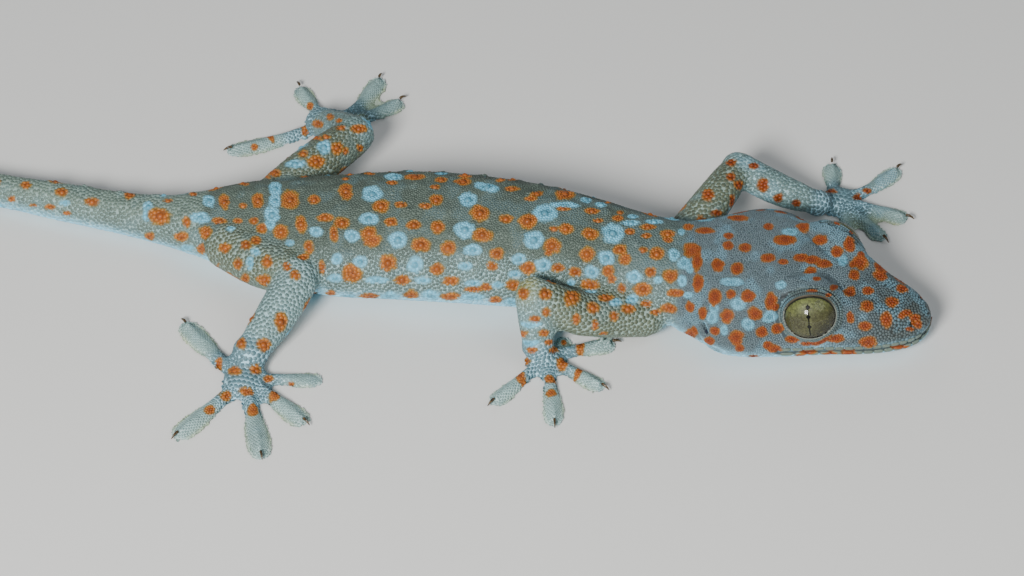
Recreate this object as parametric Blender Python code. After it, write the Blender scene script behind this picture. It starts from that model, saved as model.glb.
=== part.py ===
"""Tokay gecko at life size, standing still with its head turned along +X.

The animal lies along X, its own right side faces -Y, and +Z is up. The floor is z = 0.
Every size below is in millimetres. mesh_object turns them into metres.
"""
import math

import bmesh
import bpy
import numpy as np
from mathutils import Matrix, Vector

MM = 0.001
GAP = 0.3                     # joint between two neighbouring pieces
NAME = "tokay_gecko"

# Where the body is parted, along X
NOSE = 83.8
NAPE = 34.5
SHOULDERS = 22.0
VENT = -63.0
TAIL_CUTS = (-103.0, -152.0)
TAIL_TIP = -202.0

# x, middle y, half width, top, bottom. A bottom below zero is pressed flat on the floor.
BODY = (
    (-202.0, 12.2, 0.7, 1.3, -0.1),
    (-196.0, 12.6, 1.1, 2.0, -0.15),
    (-175.0, 13.2, 2.0, 3.5, -0.25),
    (-150.0, 11.8, 2.7, 4.8, -0.3),
    (-128.0, 9.5, 3.2, 5.8, -0.3),
    (-108.0, 7.1, 3.5, 6.6, -0.3),
    (-92.0, 5.2, 4.0, 7.7, -0.3),
    (-78.0, 3.5, 4.5, 8.8, -0.3),
    (-70.0, 2.4, 5.5, 10.4, -0.2),
    (-63.0, 1.7, 7.8, 12.6, 0.2),
    (-56.0, 1.3, 10.0, 14.8, 0.2),
    (-47.0, 0.7, 12.4, 16.6, -0.1),
    (-36.0, 0.7, 14.3, 18.4, -0.5),
    (-22.0, 2.3, 14.9, 19.9, -0.7),
    (-8.0, 2.9, 14.4, 20.8, -0.7),
    (6.0, 2.8, 13.4, 20.8, -0.4),
    (18.0, 2.2, 12.2, 19.6, 0.4),
    (28.0, 1.3, 11.6, 18.2, 1.1),
    (36.0, 1.1, 12.5, 17.6, 1.2),
    (44.0, 1.3, 15.0, 18.0, 1.1),
)

# Place along the head, middle y, half width, top, bottom, level of the mouth
HEAD = (
    (34.0, 1.1, 12.1, 17.6, 1.2, 6.6),
    (38.0, 1.2, 13.6, 17.7, 1.1, 6.4),
    (42.0, 1.5, 16.0, 18.3, 1.0, 6.2),
    (46.0, 1.7, 17.8, 19.0, 1.0, 6.0),
    (50.0, 1.6, 17.9, 19.3, 1.0, 5.8),
    (55.0, 1.2, 16.4, 19.2, 1.0, 5.5),
    (60.0, 0.7, 14.4, 18.2, 1.0, 5.1),
    (65.0, 0.1, 12.2, 16.2, 1.1, 4.7),
    (70.0, -0.4, 10.5, 14.0, 1.2, 4.5),
    (75.0, -0.8, 8.8, 12.2, 1.4, 4.5),
    (79.0, -1.1, 6.9, 10.8, 1.6, 4.6),
    (81.4, -1.3, 5.1, 9.7, 2.0, 4.7),
    (82.8, -1.4, 3.4, 8.8, 2.5, 4.8),
    (83.5, -1.45, 1.9, 8.0, 3.1, 4.9),
    (83.8, -1.5, 0.5, 7.4, 3.6, 4.9),
)
HEAD_TURN = 8.0               # degrees that the head looks towards its own right
LIP = 0.35                    # half the mouth line's opening
MOUTH_DEPTH = 0.8
MOUTH_CORNER = 57.0

# Places on the head are along it, out to each side and up
EYE_RADIUS = 5.8
LID = 1.1                     # from the eyeball to the outside of the lids
OPENING = 5.35                # radius of the lids' opening
EYE_PLACE = (61.6, 8.9, 12.3)
EYE_AXIS = (0.10, 0.95, 0.24)
NOSTRIL_PLACE = (80.3, 2.7, 7.6)
EAR_PLACE = (42.2, 14.2, 9.0)

# Rows of raised tubercles: degrees down from the ridge of the back, first and last x, spacing
TUBERCLES = {
    "torso": ((13, -59.0, 18.0, 7.7), (33, -37.0, 14.0, 7.3), (52, -32.0, 7.0, 7.8), (70, -34.0, 2.0, 8.2)),
    "neck": ((13, 25.0, 31.5, 6.5), (36, 28.0, 28.5, 6.5)),
    "tail_base": ((26, -97.0, -66.0, 7.6), (62, -94.0, -68.0, 8.0)),
}
TUBERCLE_RADIUS = 0.95
TUBERCLE_RISE = 0.45

# Soft ridges of the head: places on one side and radii
BROW = ((52.5, 7.0, 14.6, 2.6), (57.0, 7.6, 15.2, 3.8), (62.5, 6.8, 15.4, 3.6), (67.0, 6.2, 12.6, 3.0),
        (73.0, 4.6, 10.2, 2.4), (78.0, 3.0, 8.6, 1.9))

COLOURS = {
    "skin": ((0.20, 0.26, 0.29), 0.6),
    "toe": ((0.42, 0.45, 0.42), 0.6),
    "eye": ((0.33, 0.31, 0.10), 0.15),
    "claw": ((0.03, 0.025, 0.02), 0.4),
}

# Each limb: the names of its pieces; three knots for the upper and the lower piece, each a place
# and its radii across and up; the palm's middle, half length, half width, height and heading; and
# the toes, each with its knuckle, the pad's end, sideways bend, the pad's width and whether it is clawed
LIMBS = {
    "arm_right": {
        "pieces": ("arm_right_upper", "arm_right_lower", "hand_right"),
        "upper": (((28.0, -8.4, 6.2), 5.2, 4.9), ((16.0, -14.2, 9.8), 4.8, 4.5),
                  ((7.4, -15.6, 14.6), 3.8, 3.8)),
        "lower": (((7.0, -15.8, 14.8), 3.9, 3.9), ((8.0, -17.4, 9.5), 3.9, 3.8),
                  ((8.4, -18.8, 4.2), 3.2, 2.9)),
        "palm": ((10.0, -19.6), 4.8, 4.0, 3.4, -60.0),
        "toes": (((11.4, -16.6), (13.0, -12.2), 0.0, 3.3, 0), ((14.4, -15.6), (22.9, -12.4), 0.0, 4.8, 1),
                 ((14.6, -20.6), (22.5, -24.8), 0.0, 4.6, 1), ((11.5, -23.7), (14.6, -36.2), 0.02, 4.6, 1),
                 ((6.8, -24.2), (1.6, -32.6), 0.0, 4.4, 1)),
    },
    "arm_left": {
        "pieces": ("arm_left_upper", "arm_left_lower", "hand_left"),
        "upper": (((31.0, 9.0, 7.0), 4.2, 4.0), ((37.2, 21.5, 9.4), 4.2, 4.0),
                  ((40.8, 30.6, 10.6), 3.5, 3.5)),
        "lower": (((41.2, 31.4, 10.6), 3.6, 3.6), ((49.8, 30.4, 7.0), 3.7, 3.4),
                  ((58.0, 31.2, 3.7), 2.8, 2.6)),
        "palm": ((61.9, 35.4), 4.8, 4.0, 3.4, 30.0),
        "toes": (((63.6, 31.6), (65.2, 26.4), 0.0, 3.3, 0), ((67.2, 31.6), (72.4, 26.0), 0.0, 4.2, 1),
                 ((68.4, 34.0), (76.6, 33.0), 0.04, 5.1, 1), ((66.2, 38.2), (73.4, 48.0), -0.08, 4.6, 1),
                 ((60.4, 38.6), (59.4, 47.0), 0.0, 4.6, 1)),
    },
    "leg_right": {
        "pieces": ("thigh_right", "shin_right", "foot_right"),
        "upper": (((-56.4, -4.6, 8.0), 6.2, 5.6), ((-48.6, -10.6, 9.4), 5.4, 5.2),
                  ((-40.8, -14.0, 10.2), 4.4, 4.4)),
        "lower": (((-40.4, -14.5, 10.2), 4.5, 4.4), ((-43.2, -22.6, 7.0), 4.3, 4.0),
                  ((-46.6, -29.6, 3.8), 3.7, 3.1)),
        "palm": ((-47.0, -34.6), 5.4, 4.6, 3.7, -90.0),
        "toes": (((-42.4, -34.0), (-31.9, -31.8), 0.03, 4.2, 0), ((-41.7, -38.0), (-32.8, -43.8), 0.05, 5.2, 1),
                 ((-44.6, -40.2), (-39.2, -54.2), 0.0, 5.4, 1), ((-49.9, -40.0), (-57.0, -51.8), 0.0, 5.4, 1),
                 ((-52.4, -32.0), (-62.8, -21.0), -0.03, 5.4, 1)),
    },
    "leg_left": {
        "pieces": ("thigh_left", "shin_left", "foot_left"),
        "upper": (((-51.5, 6.5, 8.0), 5.2, 5.2), ((-44.2, 18.5, 9.6), 4.9, 4.8),
                  ((-38.0, 27.6, 10.2), 4.4, 4.3)),
        "lower": (((-37.8, 28.2, 10.2), 4.5, 4.3), ((-42.2, 32.8, 7.2), 4.1, 3.8),
                  ((-46.8, 37.4, 4.2), 3.4, 3.0)),
        "palm": ((-45.2, 40.8), 6.4, 4.4, 3.6, 165.0),
        "toes": (((-42.4, 40.4), (-38.6, 42.0), 0.0, 3.4, 0), ((-37.4, 43.9), (-32.5, 51.0), 0.0, 4.8, 1),
                 ((-41.0, 45.6), (-38.4, 57.4), -0.05, 5.0, 1), ((-49.3, 43.8), (-55.0, 51.6), 0.04, 4.6, 1),
                 ((-53.0, 36.9), (-65.6, 29.2), 0.12, 5.2, 1)),
    },
}

# Along a toe from the palm to its tip: part of the length, half width as a part of the
# pad's half width, and height
TOE = (
    (0.0, 0.62, 2.7),
    (0.25, 0.58, 2.4),
    (0.42, 0.64, 2.1),
    (0.60, 0.90, 1.75),
    (0.78, 1.0, 1.4),
    (0.90, 0.93, 0.95),
    (0.97, 0.64, 0.6),
    (1.0, 0.34, 0.42),
)
TOE_BONE_END = 0.93           # part of the toe's length where its last bone stops, above the pad
TOE_BONE_HEIGHT = 1.4
# Along a claw: part travelled forwards, rise above its root and radius
CLAW = (
    (0.0, 0.0, 0.44),
    (0.65, 0.12, 0.38),
    (1.3, -0.14, 0.27),
    (1.9, -0.62, 0.11),
)


def smooth_row(table, x):
    """Row of the table at x, on a smooth curve through its rows."""
    rows = np.array(table, dtype=float)
    keys = rows[:, 0]
    slopes = np.gradient(rows, keys, axis=0)
    i = int(np.clip(np.searchsorted(keys, x) - 1, 0, len(keys) - 2))
    span = keys[i + 1] - keys[i]
    t = (x - keys[i]) / span
    return ((1 + 2 * t) * (1 - t) ** 2 * rows[i] + t * (1 - t) ** 2 * span * slopes[i]
            + t * t * (3 - 2 * t) * rows[i + 1] + t * t * (t - 1) * span * slopes[i + 1])


def mesh_object(name, points, faces, collection, outward=True):
    """Mesh object in metres from points in millimetres."""
    mesh = bpy.data.meshes.new(name)
    mesh.from_pydata([tuple(float(v) * MM for v in point) for point in points], [], faces)
    work = bmesh.new()
    work.from_mesh(mesh)
    bmesh.ops.remove_doubles(work, verts=work.verts, dist=0.0000005)
    if outward:
        bmesh.ops.recalc_face_normals(work, faces=work.faces)
    work.to_mesh(mesh)
    work.free()
    obj = bpy.data.objects.new(name, mesh)
    collection.objects.link(obj)
    return obj


def ladder_loft(name, halves, collection):
    """Loft through sections that each have a right and a left row of points, top to bottom."""
    count = len(halves[0][0])
    points = []
    for right, left in halves:
        points.extend(right)
        points.extend(left)

    def at(ring, side, k):
        return ring * 2 * count + side * count + k

    faces = []
    for ring in range(len(halves) - 1):
        for side in (0, 1):
            for k in range(count - 1):
                faces.append((at(ring, side, k), at(ring, side, k + 1),
                              at(ring + 1, side, k + 1), at(ring + 1, side, k)))
        for k in (0, count - 1):
            faces.append((at(ring, 0, k), at(ring, 1, k), at(ring + 1, 1, k), at(ring + 1, 0, k)))
    for ring in (0, len(halves) - 1):
        for k in range(count - 1):
            faces.append((at(ring, 0, k), at(ring, 0, k + 1), at(ring, 1, k + 1), at(ring, 1, k)))
    return mesh_object(name, points, faces, collection)


def body_section(x, count, grow=0.0):
    """Cross-section of the trunk at x."""
    _, middle, half, top, bottom = smooth_row(BODY, x)
    half, top, bottom = half + grow, top + grow, bottom - grow
    level = bottom + 0.42 * (top - bottom)
    right, left = [], []
    for k in range(count):
        angle = math.pi * (0.5 - (k + 0.5) / count)
        y = half * math.cos(angle) ** 0.86
        rise = abs(math.sin(angle)) ** 0.94
        z = level + (top - level) * rise if angle > 0 else level - (level - bottom) * rise
        z = max(z, -grow)
        right.append((x, middle - y, z))
        left.append((x, middle + y, z))
    return right, left


def trunk_point(x, degrees, side):
    """Point on the trunk's skin, so many degrees down one side from the ridge of the back."""
    _, middle, half, top, bottom = smooth_row(BODY, x)
    level = bottom + 0.42 * (top - bottom)
    angle = math.radians(90 - degrees)
    return Vector((x, middle + side * half * math.cos(angle) ** 0.86,
                   level + (top - level) * math.sin(angle) ** 0.94))


def add_tubercles(piece, rows, collection):
    """Low six-sided tubercles in staggered rows, rooted in the piece and joined to it."""
    points, faces = [], []
    for number, (degrees, first, last, spacing) in enumerate(rows):
        for side in (-1, 1):
            for x in np.arange(first + (number % 2) * spacing / 2, last + 0.01, spacing):
                spot = trunk_point(x, degrees, side)
                along = (trunk_point(x + 0.5, degrees, side) - spot).normalized()
                around = (trunk_point(x, degrees + 3, side) - spot).normalized()
                out = along.cross(around)
                if out.z < 0:
                    out.negate()
                first_point = len(points)
                for radius, rise in ((TUBERCLE_RADIUS, -0.6), (TUBERCLE_RADIUS * 0.55, TUBERCLE_RISE)):
                    for k in range(6):
                        turn = math.pi * k / 3
                        points.append(spot + out * rise
                                      + (along * math.cos(turn) + around * math.sin(turn)) * radius)
                for k in range(6):
                    a, b = first_point + k, first_point + (k + 1) % 6
                    faces.append((a, b, b + 6, a + 6))
                faces.append(tuple(first_point + k for k in range(6)))
                faces.append(tuple(first_point + 6 + k for k in range(6)))
    boolean(piece, mesh_object("tubercles", points, faces, collection), "UNION")
    keep_largest(piece)


def body_piece(name, start, end, rings, count, collection, grow=0.0):
    """Length of the trunk or tail between two planes across X."""
    stations = np.linspace(start, end, rings)
    return ladder_loft(name, [body_section(x, count, grow) for x in stations], collection)


def head_place(along, out, up, side=1):
    """Point on the head from its place along the middle line, out to a side and up."""
    middle = smooth_row(HEAD, along)[1]
    share = min(1.0, max(0.0, (along - NAPE) / 14.0))
    turn = math.radians(HEAD_TURN) * share * share * (3 - 2 * share)
    return Vector((along + side * out * math.sin(turn), middle + side * out * math.cos(turn), up))


def head_section(along, grow=0.0):
    """Cross-section of the head, with the mouth line pressed into its sides."""
    _, _, half, top, bottom, mouth = smooth_row(HEAD, along)
    half, top, bottom = half + grow, top + grow, bottom - grow
    depth = MOUTH_DEPTH * min(1.0, max(0.0, (along - MOUTH_CORNER) / 2.0))
    core = head_place(min(along, NOSE - 8.0), 0.0, mouth)
    right, left = [], []
    for side, row in ((-1, right), (1, left)):
        for degrees in (84, 70, 56, 42, 28, 14):
            angle = math.radians(degrees)
            row.append(head_place(along, half * math.cos(angle) ** 0.72,
                                  mouth + LIP + (top - mouth - LIP) * math.sin(angle) ** 0.92, side))
        row.append(head_place(along, half, mouth + LIP, side))
        edge = head_place(along, half - 0.1 * depth, mouth, side)
        row.append(edge + (core - edge).normalized() * depth)
        row.append(head_place(along, half * 0.985, mouth - LIP, side))
        for degrees in (18, 38, 58, 80):
            angle = math.radians(degrees)
            row.append(head_place(along, half * math.cos(angle) ** 0.8,
                                  mouth - LIP - (mouth - LIP - bottom) * math.sin(angle) ** 0.9, side))
    return right, left


def boolean(target, tool, operation, keep_tool=False, solver="EXACT"):
    """Joins the tool to the target or cuts it away, and applies that.

    The head and feet use MANIFOLD, because EXACT leaves open edges where many forms meet.
    """
    modifier = target.modifiers.new(operation.lower(), "BOOLEAN")
    modifier.operation = operation
    modifier.solver = solver
    modifier.object = tool
    bpy.context.view_layer.update()
    graph = bpy.context.evaluated_depsgraph_get()
    result = bpy.data.meshes.new_from_object(target.evaluated_get(graph))
    target.modifiers.remove(modifier)
    old = target.data
    target.data = result
    bpy.data.meshes.remove(old)
    if not keep_tool:
        bpy.data.objects.remove(tool)


def keep_largest(obj):
    """Leaves the one closed surface with the most volume and welds its finest edges."""
    work = bmesh.new()
    work.from_mesh(obj.data)
    bmesh.ops.dissolve_degenerate(work, dist=0.000002, edges=work.edges)
    bmesh.ops.triangulate(work, faces=work.faces)
    left = set(work.faces)
    shells = []
    while left:
        start = left.pop()
        shell, queue = [start], [start]
        while queue:
            for edge in queue.pop().edges:
                for face in edge.link_faces:
                    if face in left:
                        left.remove(face)
                        shell.append(face)
                        queue.append(face)
        shells.append(shell)

    def volume(shell):
        total = 0.0
        for face in shell:
            a, b, c = (v.co for v in face.verts)
            total += a.dot(b.cross(c)) / 6
        return abs(total)

    shells.sort(key=volume, reverse=True)
    for shell in shells[1:]:
        bmesh.ops.delete(work, geom=shell, context="FACES")
    loose = [v for v in work.verts if not v.link_faces]
    bmesh.ops.delete(work, geom=loose, context="VERTS")
    work.to_mesh(obj.data)
    work.free()


def finish(obj, look):
    """Material and smooth shading of a finished piece."""
    colour, roughness = COLOURS[look]
    material = bpy.data.materials.get(look)
    if material is None:
        material = bpy.data.materials.new(look)
        material.use_nodes = True
        shader = material.node_tree.nodes["Principled BSDF"]
        shader.inputs["Base Color"].default_value = (*colour, 1.0)
        shader.inputs["Roughness"].default_value = roughness
        shader.inputs["Metallic"].default_value = 0.0
    obj.data.materials.clear()
    obj.data.materials.append(material)
    obj.data.shade_smooth()
    obj.data.set_sharp_from_angle(angle=math.radians(50))


def turned_frame(place, axis):
    """Matrix that sets +Z of a primitive along the axis at the place."""
    turn = Vector(axis).normalized().to_track_quat("Z", "Y").to_matrix().to_4x4()
    return Matrix.Translation(Vector(place)) @ turn


def sphere(name, place, axis, radii, segments, rings, collection):
    """Ellipsoid at the place, its third radius along the axis."""
    work = bmesh.new()
    bmesh.ops.create_uvsphere(work, u_segments=segments, v_segments=rings, radius=1.0,
                              matrix=Matrix.Diagonal((*radii, 1.0)))
    frame = turned_frame(place, axis)
    points = [frame @ v.co for v in work.verts]
    faces = [[v.index for v in face.verts] for face in work.faces]
    work.free()
    return mesh_object(name, points, faces, collection)


def drum(name, place, axis, radius, length, segments, collection):
    """Cylinder that starts at the place and runs along the axis."""
    work = bmesh.new()
    bmesh.ops.create_cone(work, cap_ends=True, segments=segments, radius1=radius, radius2=radius,
                          depth=length, matrix=Matrix.Translation((0, 0, length / 2)))
    frame = turned_frame(place, axis)
    points = [frame @ v.co for v in work.verts]
    faces = [[v.index for v in face.verts] for face in work.faces]
    work.free()
    return mesh_object(name, points, faces, collection)


def tube(name, path, radii, sides, collection, round_ends=(True, True), floor=0.0):
    """Tube along a path with its own radius across and up at each point."""
    path = [Vector(p) for p in path]
    rings = []
    for i, centre in enumerate(path):
        ahead = path[min(i + 1, len(path) - 1)] - path[max(i - 1, 0)]
        rings.append((centre, ahead.normalized(), *radii[i]))
    if round_ends[0]:
        centre, ahead, across, up = rings[0]
        rings[:0] = [(centre - ahead * up * math.sin(a), ahead, across * math.cos(a), up * math.cos(a))
                     for a in (math.radians(74), math.radians(38))]
    if round_ends[1]:
        centre, ahead, across, up = rings[-1]
        rings += [(centre + ahead * up * math.sin(a), ahead, across * math.cos(a), up * math.cos(a))
                  for a in (math.radians(38), math.radians(74))]
    points, faces = [], []
    side_way = None
    for centre, ahead, across, up in rings:
        flat = ahead.cross(Vector((0, 0, 1)))
        if flat.length < 0.25 and side_way is not None:
            flat = side_way - ahead * side_way.dot(ahead)
        if side_way is not None and flat.dot(side_way) < 0:
            flat.negate()
        flat.normalize()
        side_way = flat
        lift = flat.cross(ahead)
        for k in range(sides):
            angle = 2 * math.pi * (k + 0.5) / sides
            point = centre + flat * across * math.cos(angle) + lift * up * math.sin(angle)
            point.z = max(point.z, floor)
            points.append(point)
    for ring in range(len(rings) - 1):
        for k in range(sides):
            a, b = ring * sides + k, ring * sides + (k + 1) % sides
            faces.append((a, b, b + sides, a + sides))
    faces.append(tuple(range(sides)))
    faces.append(tuple(range(len(points) - sides, len(points))))
    return mesh_object(name, points, faces, collection)


def limb_tube(name, knots, collection, grow=0.0, rings=6, sides=12):
    """Limb piece on a smooth curve through its three knots."""
    (a, a_across, a_up), (m, m_across, m_up), (b, b_across, b_up) = knots
    table = [(0.0, *a, a_across, a_up), (0.5, *m, m_across, m_up), (1.0, *b, b_across, b_up)]
    path, radii = [], []
    for t in np.linspace(0.0, 1.0, rings):
        row = smooth_row(table, t)
        path.append(row[1:4])
        radii.append((row[4] + grow, row[5] + grow))
    return tube(name, path, radii, sides, collection, floor=0.15 - grow)


def palm_dome(name, spec, collection, grow=0.0):
    """Dome of the palm. It reaches below the floor until the sole is cut."""
    (x, y), long_radius, short_radius, height, heading = spec
    dome = sphere(name, (0, 0, 0), (0, 0, 1), (long_radius + grow, short_radius + grow, height + grow),
                  14, 8, collection)
    turn = Matrix.Translation((x * MM, y * MM, 0)) @ Matrix.Rotation(math.radians(heading), 4, "Z")
    dome.data.transform(turn)
    return dome


def flatten_sole(obj):
    """Turns the pressed underside into one flat face."""
    work = bmesh.new()
    work.from_mesh(obj.data)
    low = min(v.co.z for v in work.verts)
    sole = [f for f in work.faces if all(v.co.z < low + 1e-7 for v in f.verts)]
    if len(sole) > 1:
        bmesh.ops.dissolve_faces(work, faces=sole, use_verts=True)
    bmesh.ops.recalc_face_normals(work, faces=work.faces)
    work.to_mesh(obj.data)
    work.free()


def toe_path(palm, knuckle, tip, bend):
    """Curve of a toe on the floor, from inside the palm past the knuckle to the pad's end."""
    centre, knuckle, end = Vector(palm), Vector(knuckle), Vector(tip)
    start = centre.lerp(knuckle, 0.4)
    run = end - knuckle
    middle = knuckle + run * 0.25 + Vector((-run.y, run.x)) * bend

    def point(t):
        flat = start * (1 - t) ** 2 + middle * 2 * t * (1 - t) + end * t * t
        return Vector((flat.x, flat.y, 0.0))

    return point


def toe_pad(name, path, width, collection):
    """Toe with a broad pad, domed above. It reaches below the floor until the sole is cut."""
    arcs = [math.radians(a) for a in (0, 28, 62, 90, 118, 152, 180)]
    points, faces = [], []
    for t, share, height in TOE:
        centre = path(t)
        ahead = (path(min(t + 0.02, 1.0)) - path(max(t - 0.02, 0.0))).normalized()
        across = Vector((-ahead.y, ahead.x, 0.0)) * share * width / 2
        for arc in arcs:
            lift = Vector((0, 0, height * math.sin(arc)))
            points.append(centre + across * math.cos(arc) + lift)
        points.append(centre - across * 0.8 - Vector((0, 0, 0.9)))
        points.append(centre + across * 0.8 - Vector((0, 0, 0.9)))
    count = len(arcs) + 2
    for ring in range(len(TOE) - 1):
        for k in range(count):
            a, b = ring * count + k, ring * count + (k + 1) % count
            faces.append((a, b, b + count, a + count))
    faces.append(tuple(range(count)))
    faces.append(tuple(range(len(points) - count, len(points))))
    return mesh_object(name, points, faces, collection)


def toe_ridge(name, path, collection):
    """Last toe bone: it lies on the pad and carries the claw above the pad's end."""
    end = path(TOE_BONE_END)
    ahead = (end - path(TOE_BONE_END - 0.06)).normalized()
    stops = [path(0.50) + Vector((0, 0, 1.2)), path(0.75) + Vector((0, 0, 1.3)),
             end + Vector((0, 0, TOE_BONE_HEIGHT))]
    radii = [(0.8, 0.8), (0.8, 0.8), (0.55, 0.55)]
    return tube(name, stops, radii, 7, collection, round_ends=(False, False)), end, ahead


def claw(name, end, ahead, collection):
    """Curved claw that starts a joint's width beyond the last toe bone."""
    start = end + ahead * GAP + Vector((0, 0, TOE_BONE_HEIGHT + 0.06))
    path = [start + ahead * along + Vector((0, 0, drop)) for along, drop, _ in CLAW]
    radii = [(radius * 0.8, radius) for _, _, radius in CLAW]
    return tube(name, path, radii, 6, collection, round_ends=(False, False))


def make_limb(key, parts, cutters, trunk, skull):
    """Upper limb, lower limb, hand or foot, and the claws."""
    spec = LIMBS[key]
    upper_name, lower_name, foot_name = spec["pieces"]
    foot = palm_dome(foot_name, spec["palm"], parts)
    wrist = spec["lower"][2]
    knob = sphere("knob", wrist[0], (0, 0, 1), (wrist[1] + 0.3, wrist[1] + 0.3, wrist[2] + 0.2), 12, 8, parts)
    boolean(foot, knob, "UNION", solver="MANIFOLD")
    for number, (knuckle, tip, bend, width, clawed) in enumerate(spec["toes"], start=1):
        path = toe_path(spec["palm"][0], knuckle, tip, bend)
        boolean(foot, toe_pad("pad", path, width, parts), "UNION", solver="MANIFOLD")
        if clawed:
            ridge, end, ahead = toe_ridge("ridge", path, parts)
            boolean(foot, ridge, "UNION", solver="MANIFOLD")
            finish(claw("claw_%s_%d" % (foot_name, number), end, ahead, parts), "claw")
    x, y = spec["palm"][0]
    floor = drum("floor", (x, y, -6.0), (0, 0, 1), 40.0, 6.0, 8, cutters)
    boolean(foot, floor, "DIFFERENCE", solver="MANIFOLD")
    keep_largest(foot)

    lower = limb_tube(lower_name, spec["lower"], parts)
    boolean(lower, palm_dome("palm_cutter", spec["palm"], cutters, GAP), "DIFFERENCE")
    boolean(lower, sphere("knob_cutter", wrist[0], (0, 0, 1),
                          (wrist[1] + 0.3 + GAP, wrist[1] + 0.3 + GAP, wrist[2] + 0.2 + GAP), 12, 8, cutters),
            "DIFFERENCE")
    boolean(lower, trunk, "DIFFERENCE", keep_tool=True)
    keep_largest(lower)

    upper = limb_tube(upper_name, spec["upper"], parts, rings=7)
    boolean(upper, limb_tube("lower_cutter", spec["lower"], cutters, GAP), "DIFFERENCE")
    boolean(upper, trunk, "DIFFERENCE", keep_tool=True)
    if key == "arm_left":
        boolean(upper, skull, "DIFFERENCE", keep_tool=True)
    keep_largest(upper)
    finish(foot, "toe")
    finish(lower, "skin")
    finish(upper, "skin")


def make_head(parts, cutters):
    """Head with lids, eyeballs, nostrils and ear openings."""
    main = list(np.linspace(NAPE, 79.0, 19))
    stations = main + [80.6, 81.9, 82.8, 83.5, NOSE]
    head = ladder_loft("head", [head_section(x) for x in stations], parts)
    turn = Matrix.Rotation(-math.radians(HEAD_TURN), 3, "Z")
    for side in (-1, 1):
        axis = turn @ Vector((EYE_AXIS[0], side * EYE_AXIS[1], EYE_AXIS[2])).normalized()
        dome = EYE_RADIUS + LID
        lids = sphere("lids", head_place(*EYE_PLACE, side), axis, (dome,) * 3, 24, 14, parts)
        boolean(head, lids, "UNION", solver="MANIFOLD")
        ridge = [head_place(along, out, up, side) for along, out, up, _ in BROW]
        radii = [(radius, radius) for _, _, _, radius in BROW]
        boolean(head, tube("brow", ridge, radii, 10, parts), "UNION", solver="MANIFOLD")
    for side, label in ((-1, "right"), (1, "left")):
        place = head_place(*EYE_PLACE, side)
        axis = turn @ Vector((EYE_AXIS[0], side * EYE_AXIS[1], EYE_AXIS[2])).normalized()
        socket = EYE_RADIUS + GAP
        window = drum("window", place, axis, OPENING, 12.0, 24, cutters)
        boolean(head, window, "DIFFERENCE", solver="MANIFOLD")
        hollow = sphere("socket", place, axis, (socket,) * 3, 24, 14, cutters)
        boolean(head, hollow, "DIFFERENCE", solver="MANIFOLD")
        finish(sphere("eye_" + label, place, axis, (EYE_RADIUS,) * 3, 22, 12, parts), "eye")

        place = head_place(*NOSTRIL_PLACE, side)
        axis = turn @ Vector((0.25, side * 0.8, 0.55)).normalized()
        rim = sphere("nostril_rim", place, axis, (1.9, 1.6, 1.3), 12, 8, parts)
        boolean(head, rim, "UNION", solver="MANIFOLD")
        nostril = sphere("nostril", place + axis * 1.1, axis, (0.8, 0.65, 1.2), 10, 6, cutters)
        boolean(head, nostril, "DIFFERENCE", solver="MANIFOLD")

        place = head_place(*EAR_PLACE, side)
        ear = sphere("ear", place, (0.58, 0.0, -0.80), (1.7, 0.75, 3.5), 10, 8, cutters)
        boolean(head, ear, "DIFFERENCE", solver="MANIFOLD")
    keep_largest(head)
    finish(head, "skin")


def main():
    for obj in list(bpy.data.objects):
        bpy.data.objects.remove(obj)
    parts = bpy.data.collections.new(NAME)
    cutters = bpy.data.collections.new("cutters")
    bpy.context.scene.collection.children.link(parts)
    bpy.context.scene.collection.children.link(cutters)

    make_head(parts, cutters)
    half = GAP / 2
    pieces = (
        ("neck", SHOULDERS + half, NAPE - GAP, 6, 10),
        ("torso", VENT + half, SHOULDERS - half, 22, 10),
        ("tail_base", TAIL_CUTS[0] + half, VENT - half, 12, 7),
        ("tail_middle", TAIL_CUTS[1] + half, TAIL_CUTS[0] - half, 11, 7),
        ("tail_tip", TAIL_TIP, TAIL_CUTS[1] - half, 12, 6),
    )
    for name, start, end, rings, count in pieces:
        piece = body_piece(name, start, end, rings, count, parts)
        flatten_sole(piece)
        if name in TUBERCLES:
            add_tubercles(piece, TUBERCLES[name], parts)
        finish(piece, "skin")

    trunk = body_piece("trunk_cutter", -120.0, NAPE - GAP, 40, 10, cutters, GAP)
    skull = ladder_loft("skull_cutter", [head_section(x, GAP) for x in np.linspace(NAPE - 0.5, 70.0, 16)],
                        cutters)
    for key in LIMBS:
        make_limb(key, parts, cutters, trunk, skull)
    bpy.data.objects.remove(trunk)
    bpy.data.objects.remove(skull)


main()
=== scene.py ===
import math

import bpy
import numpy as np
from mathutils import Matrix, Vector
from mathutils.bvhtree import BVHTree
from mathutils.kdtree import KDTree


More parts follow.
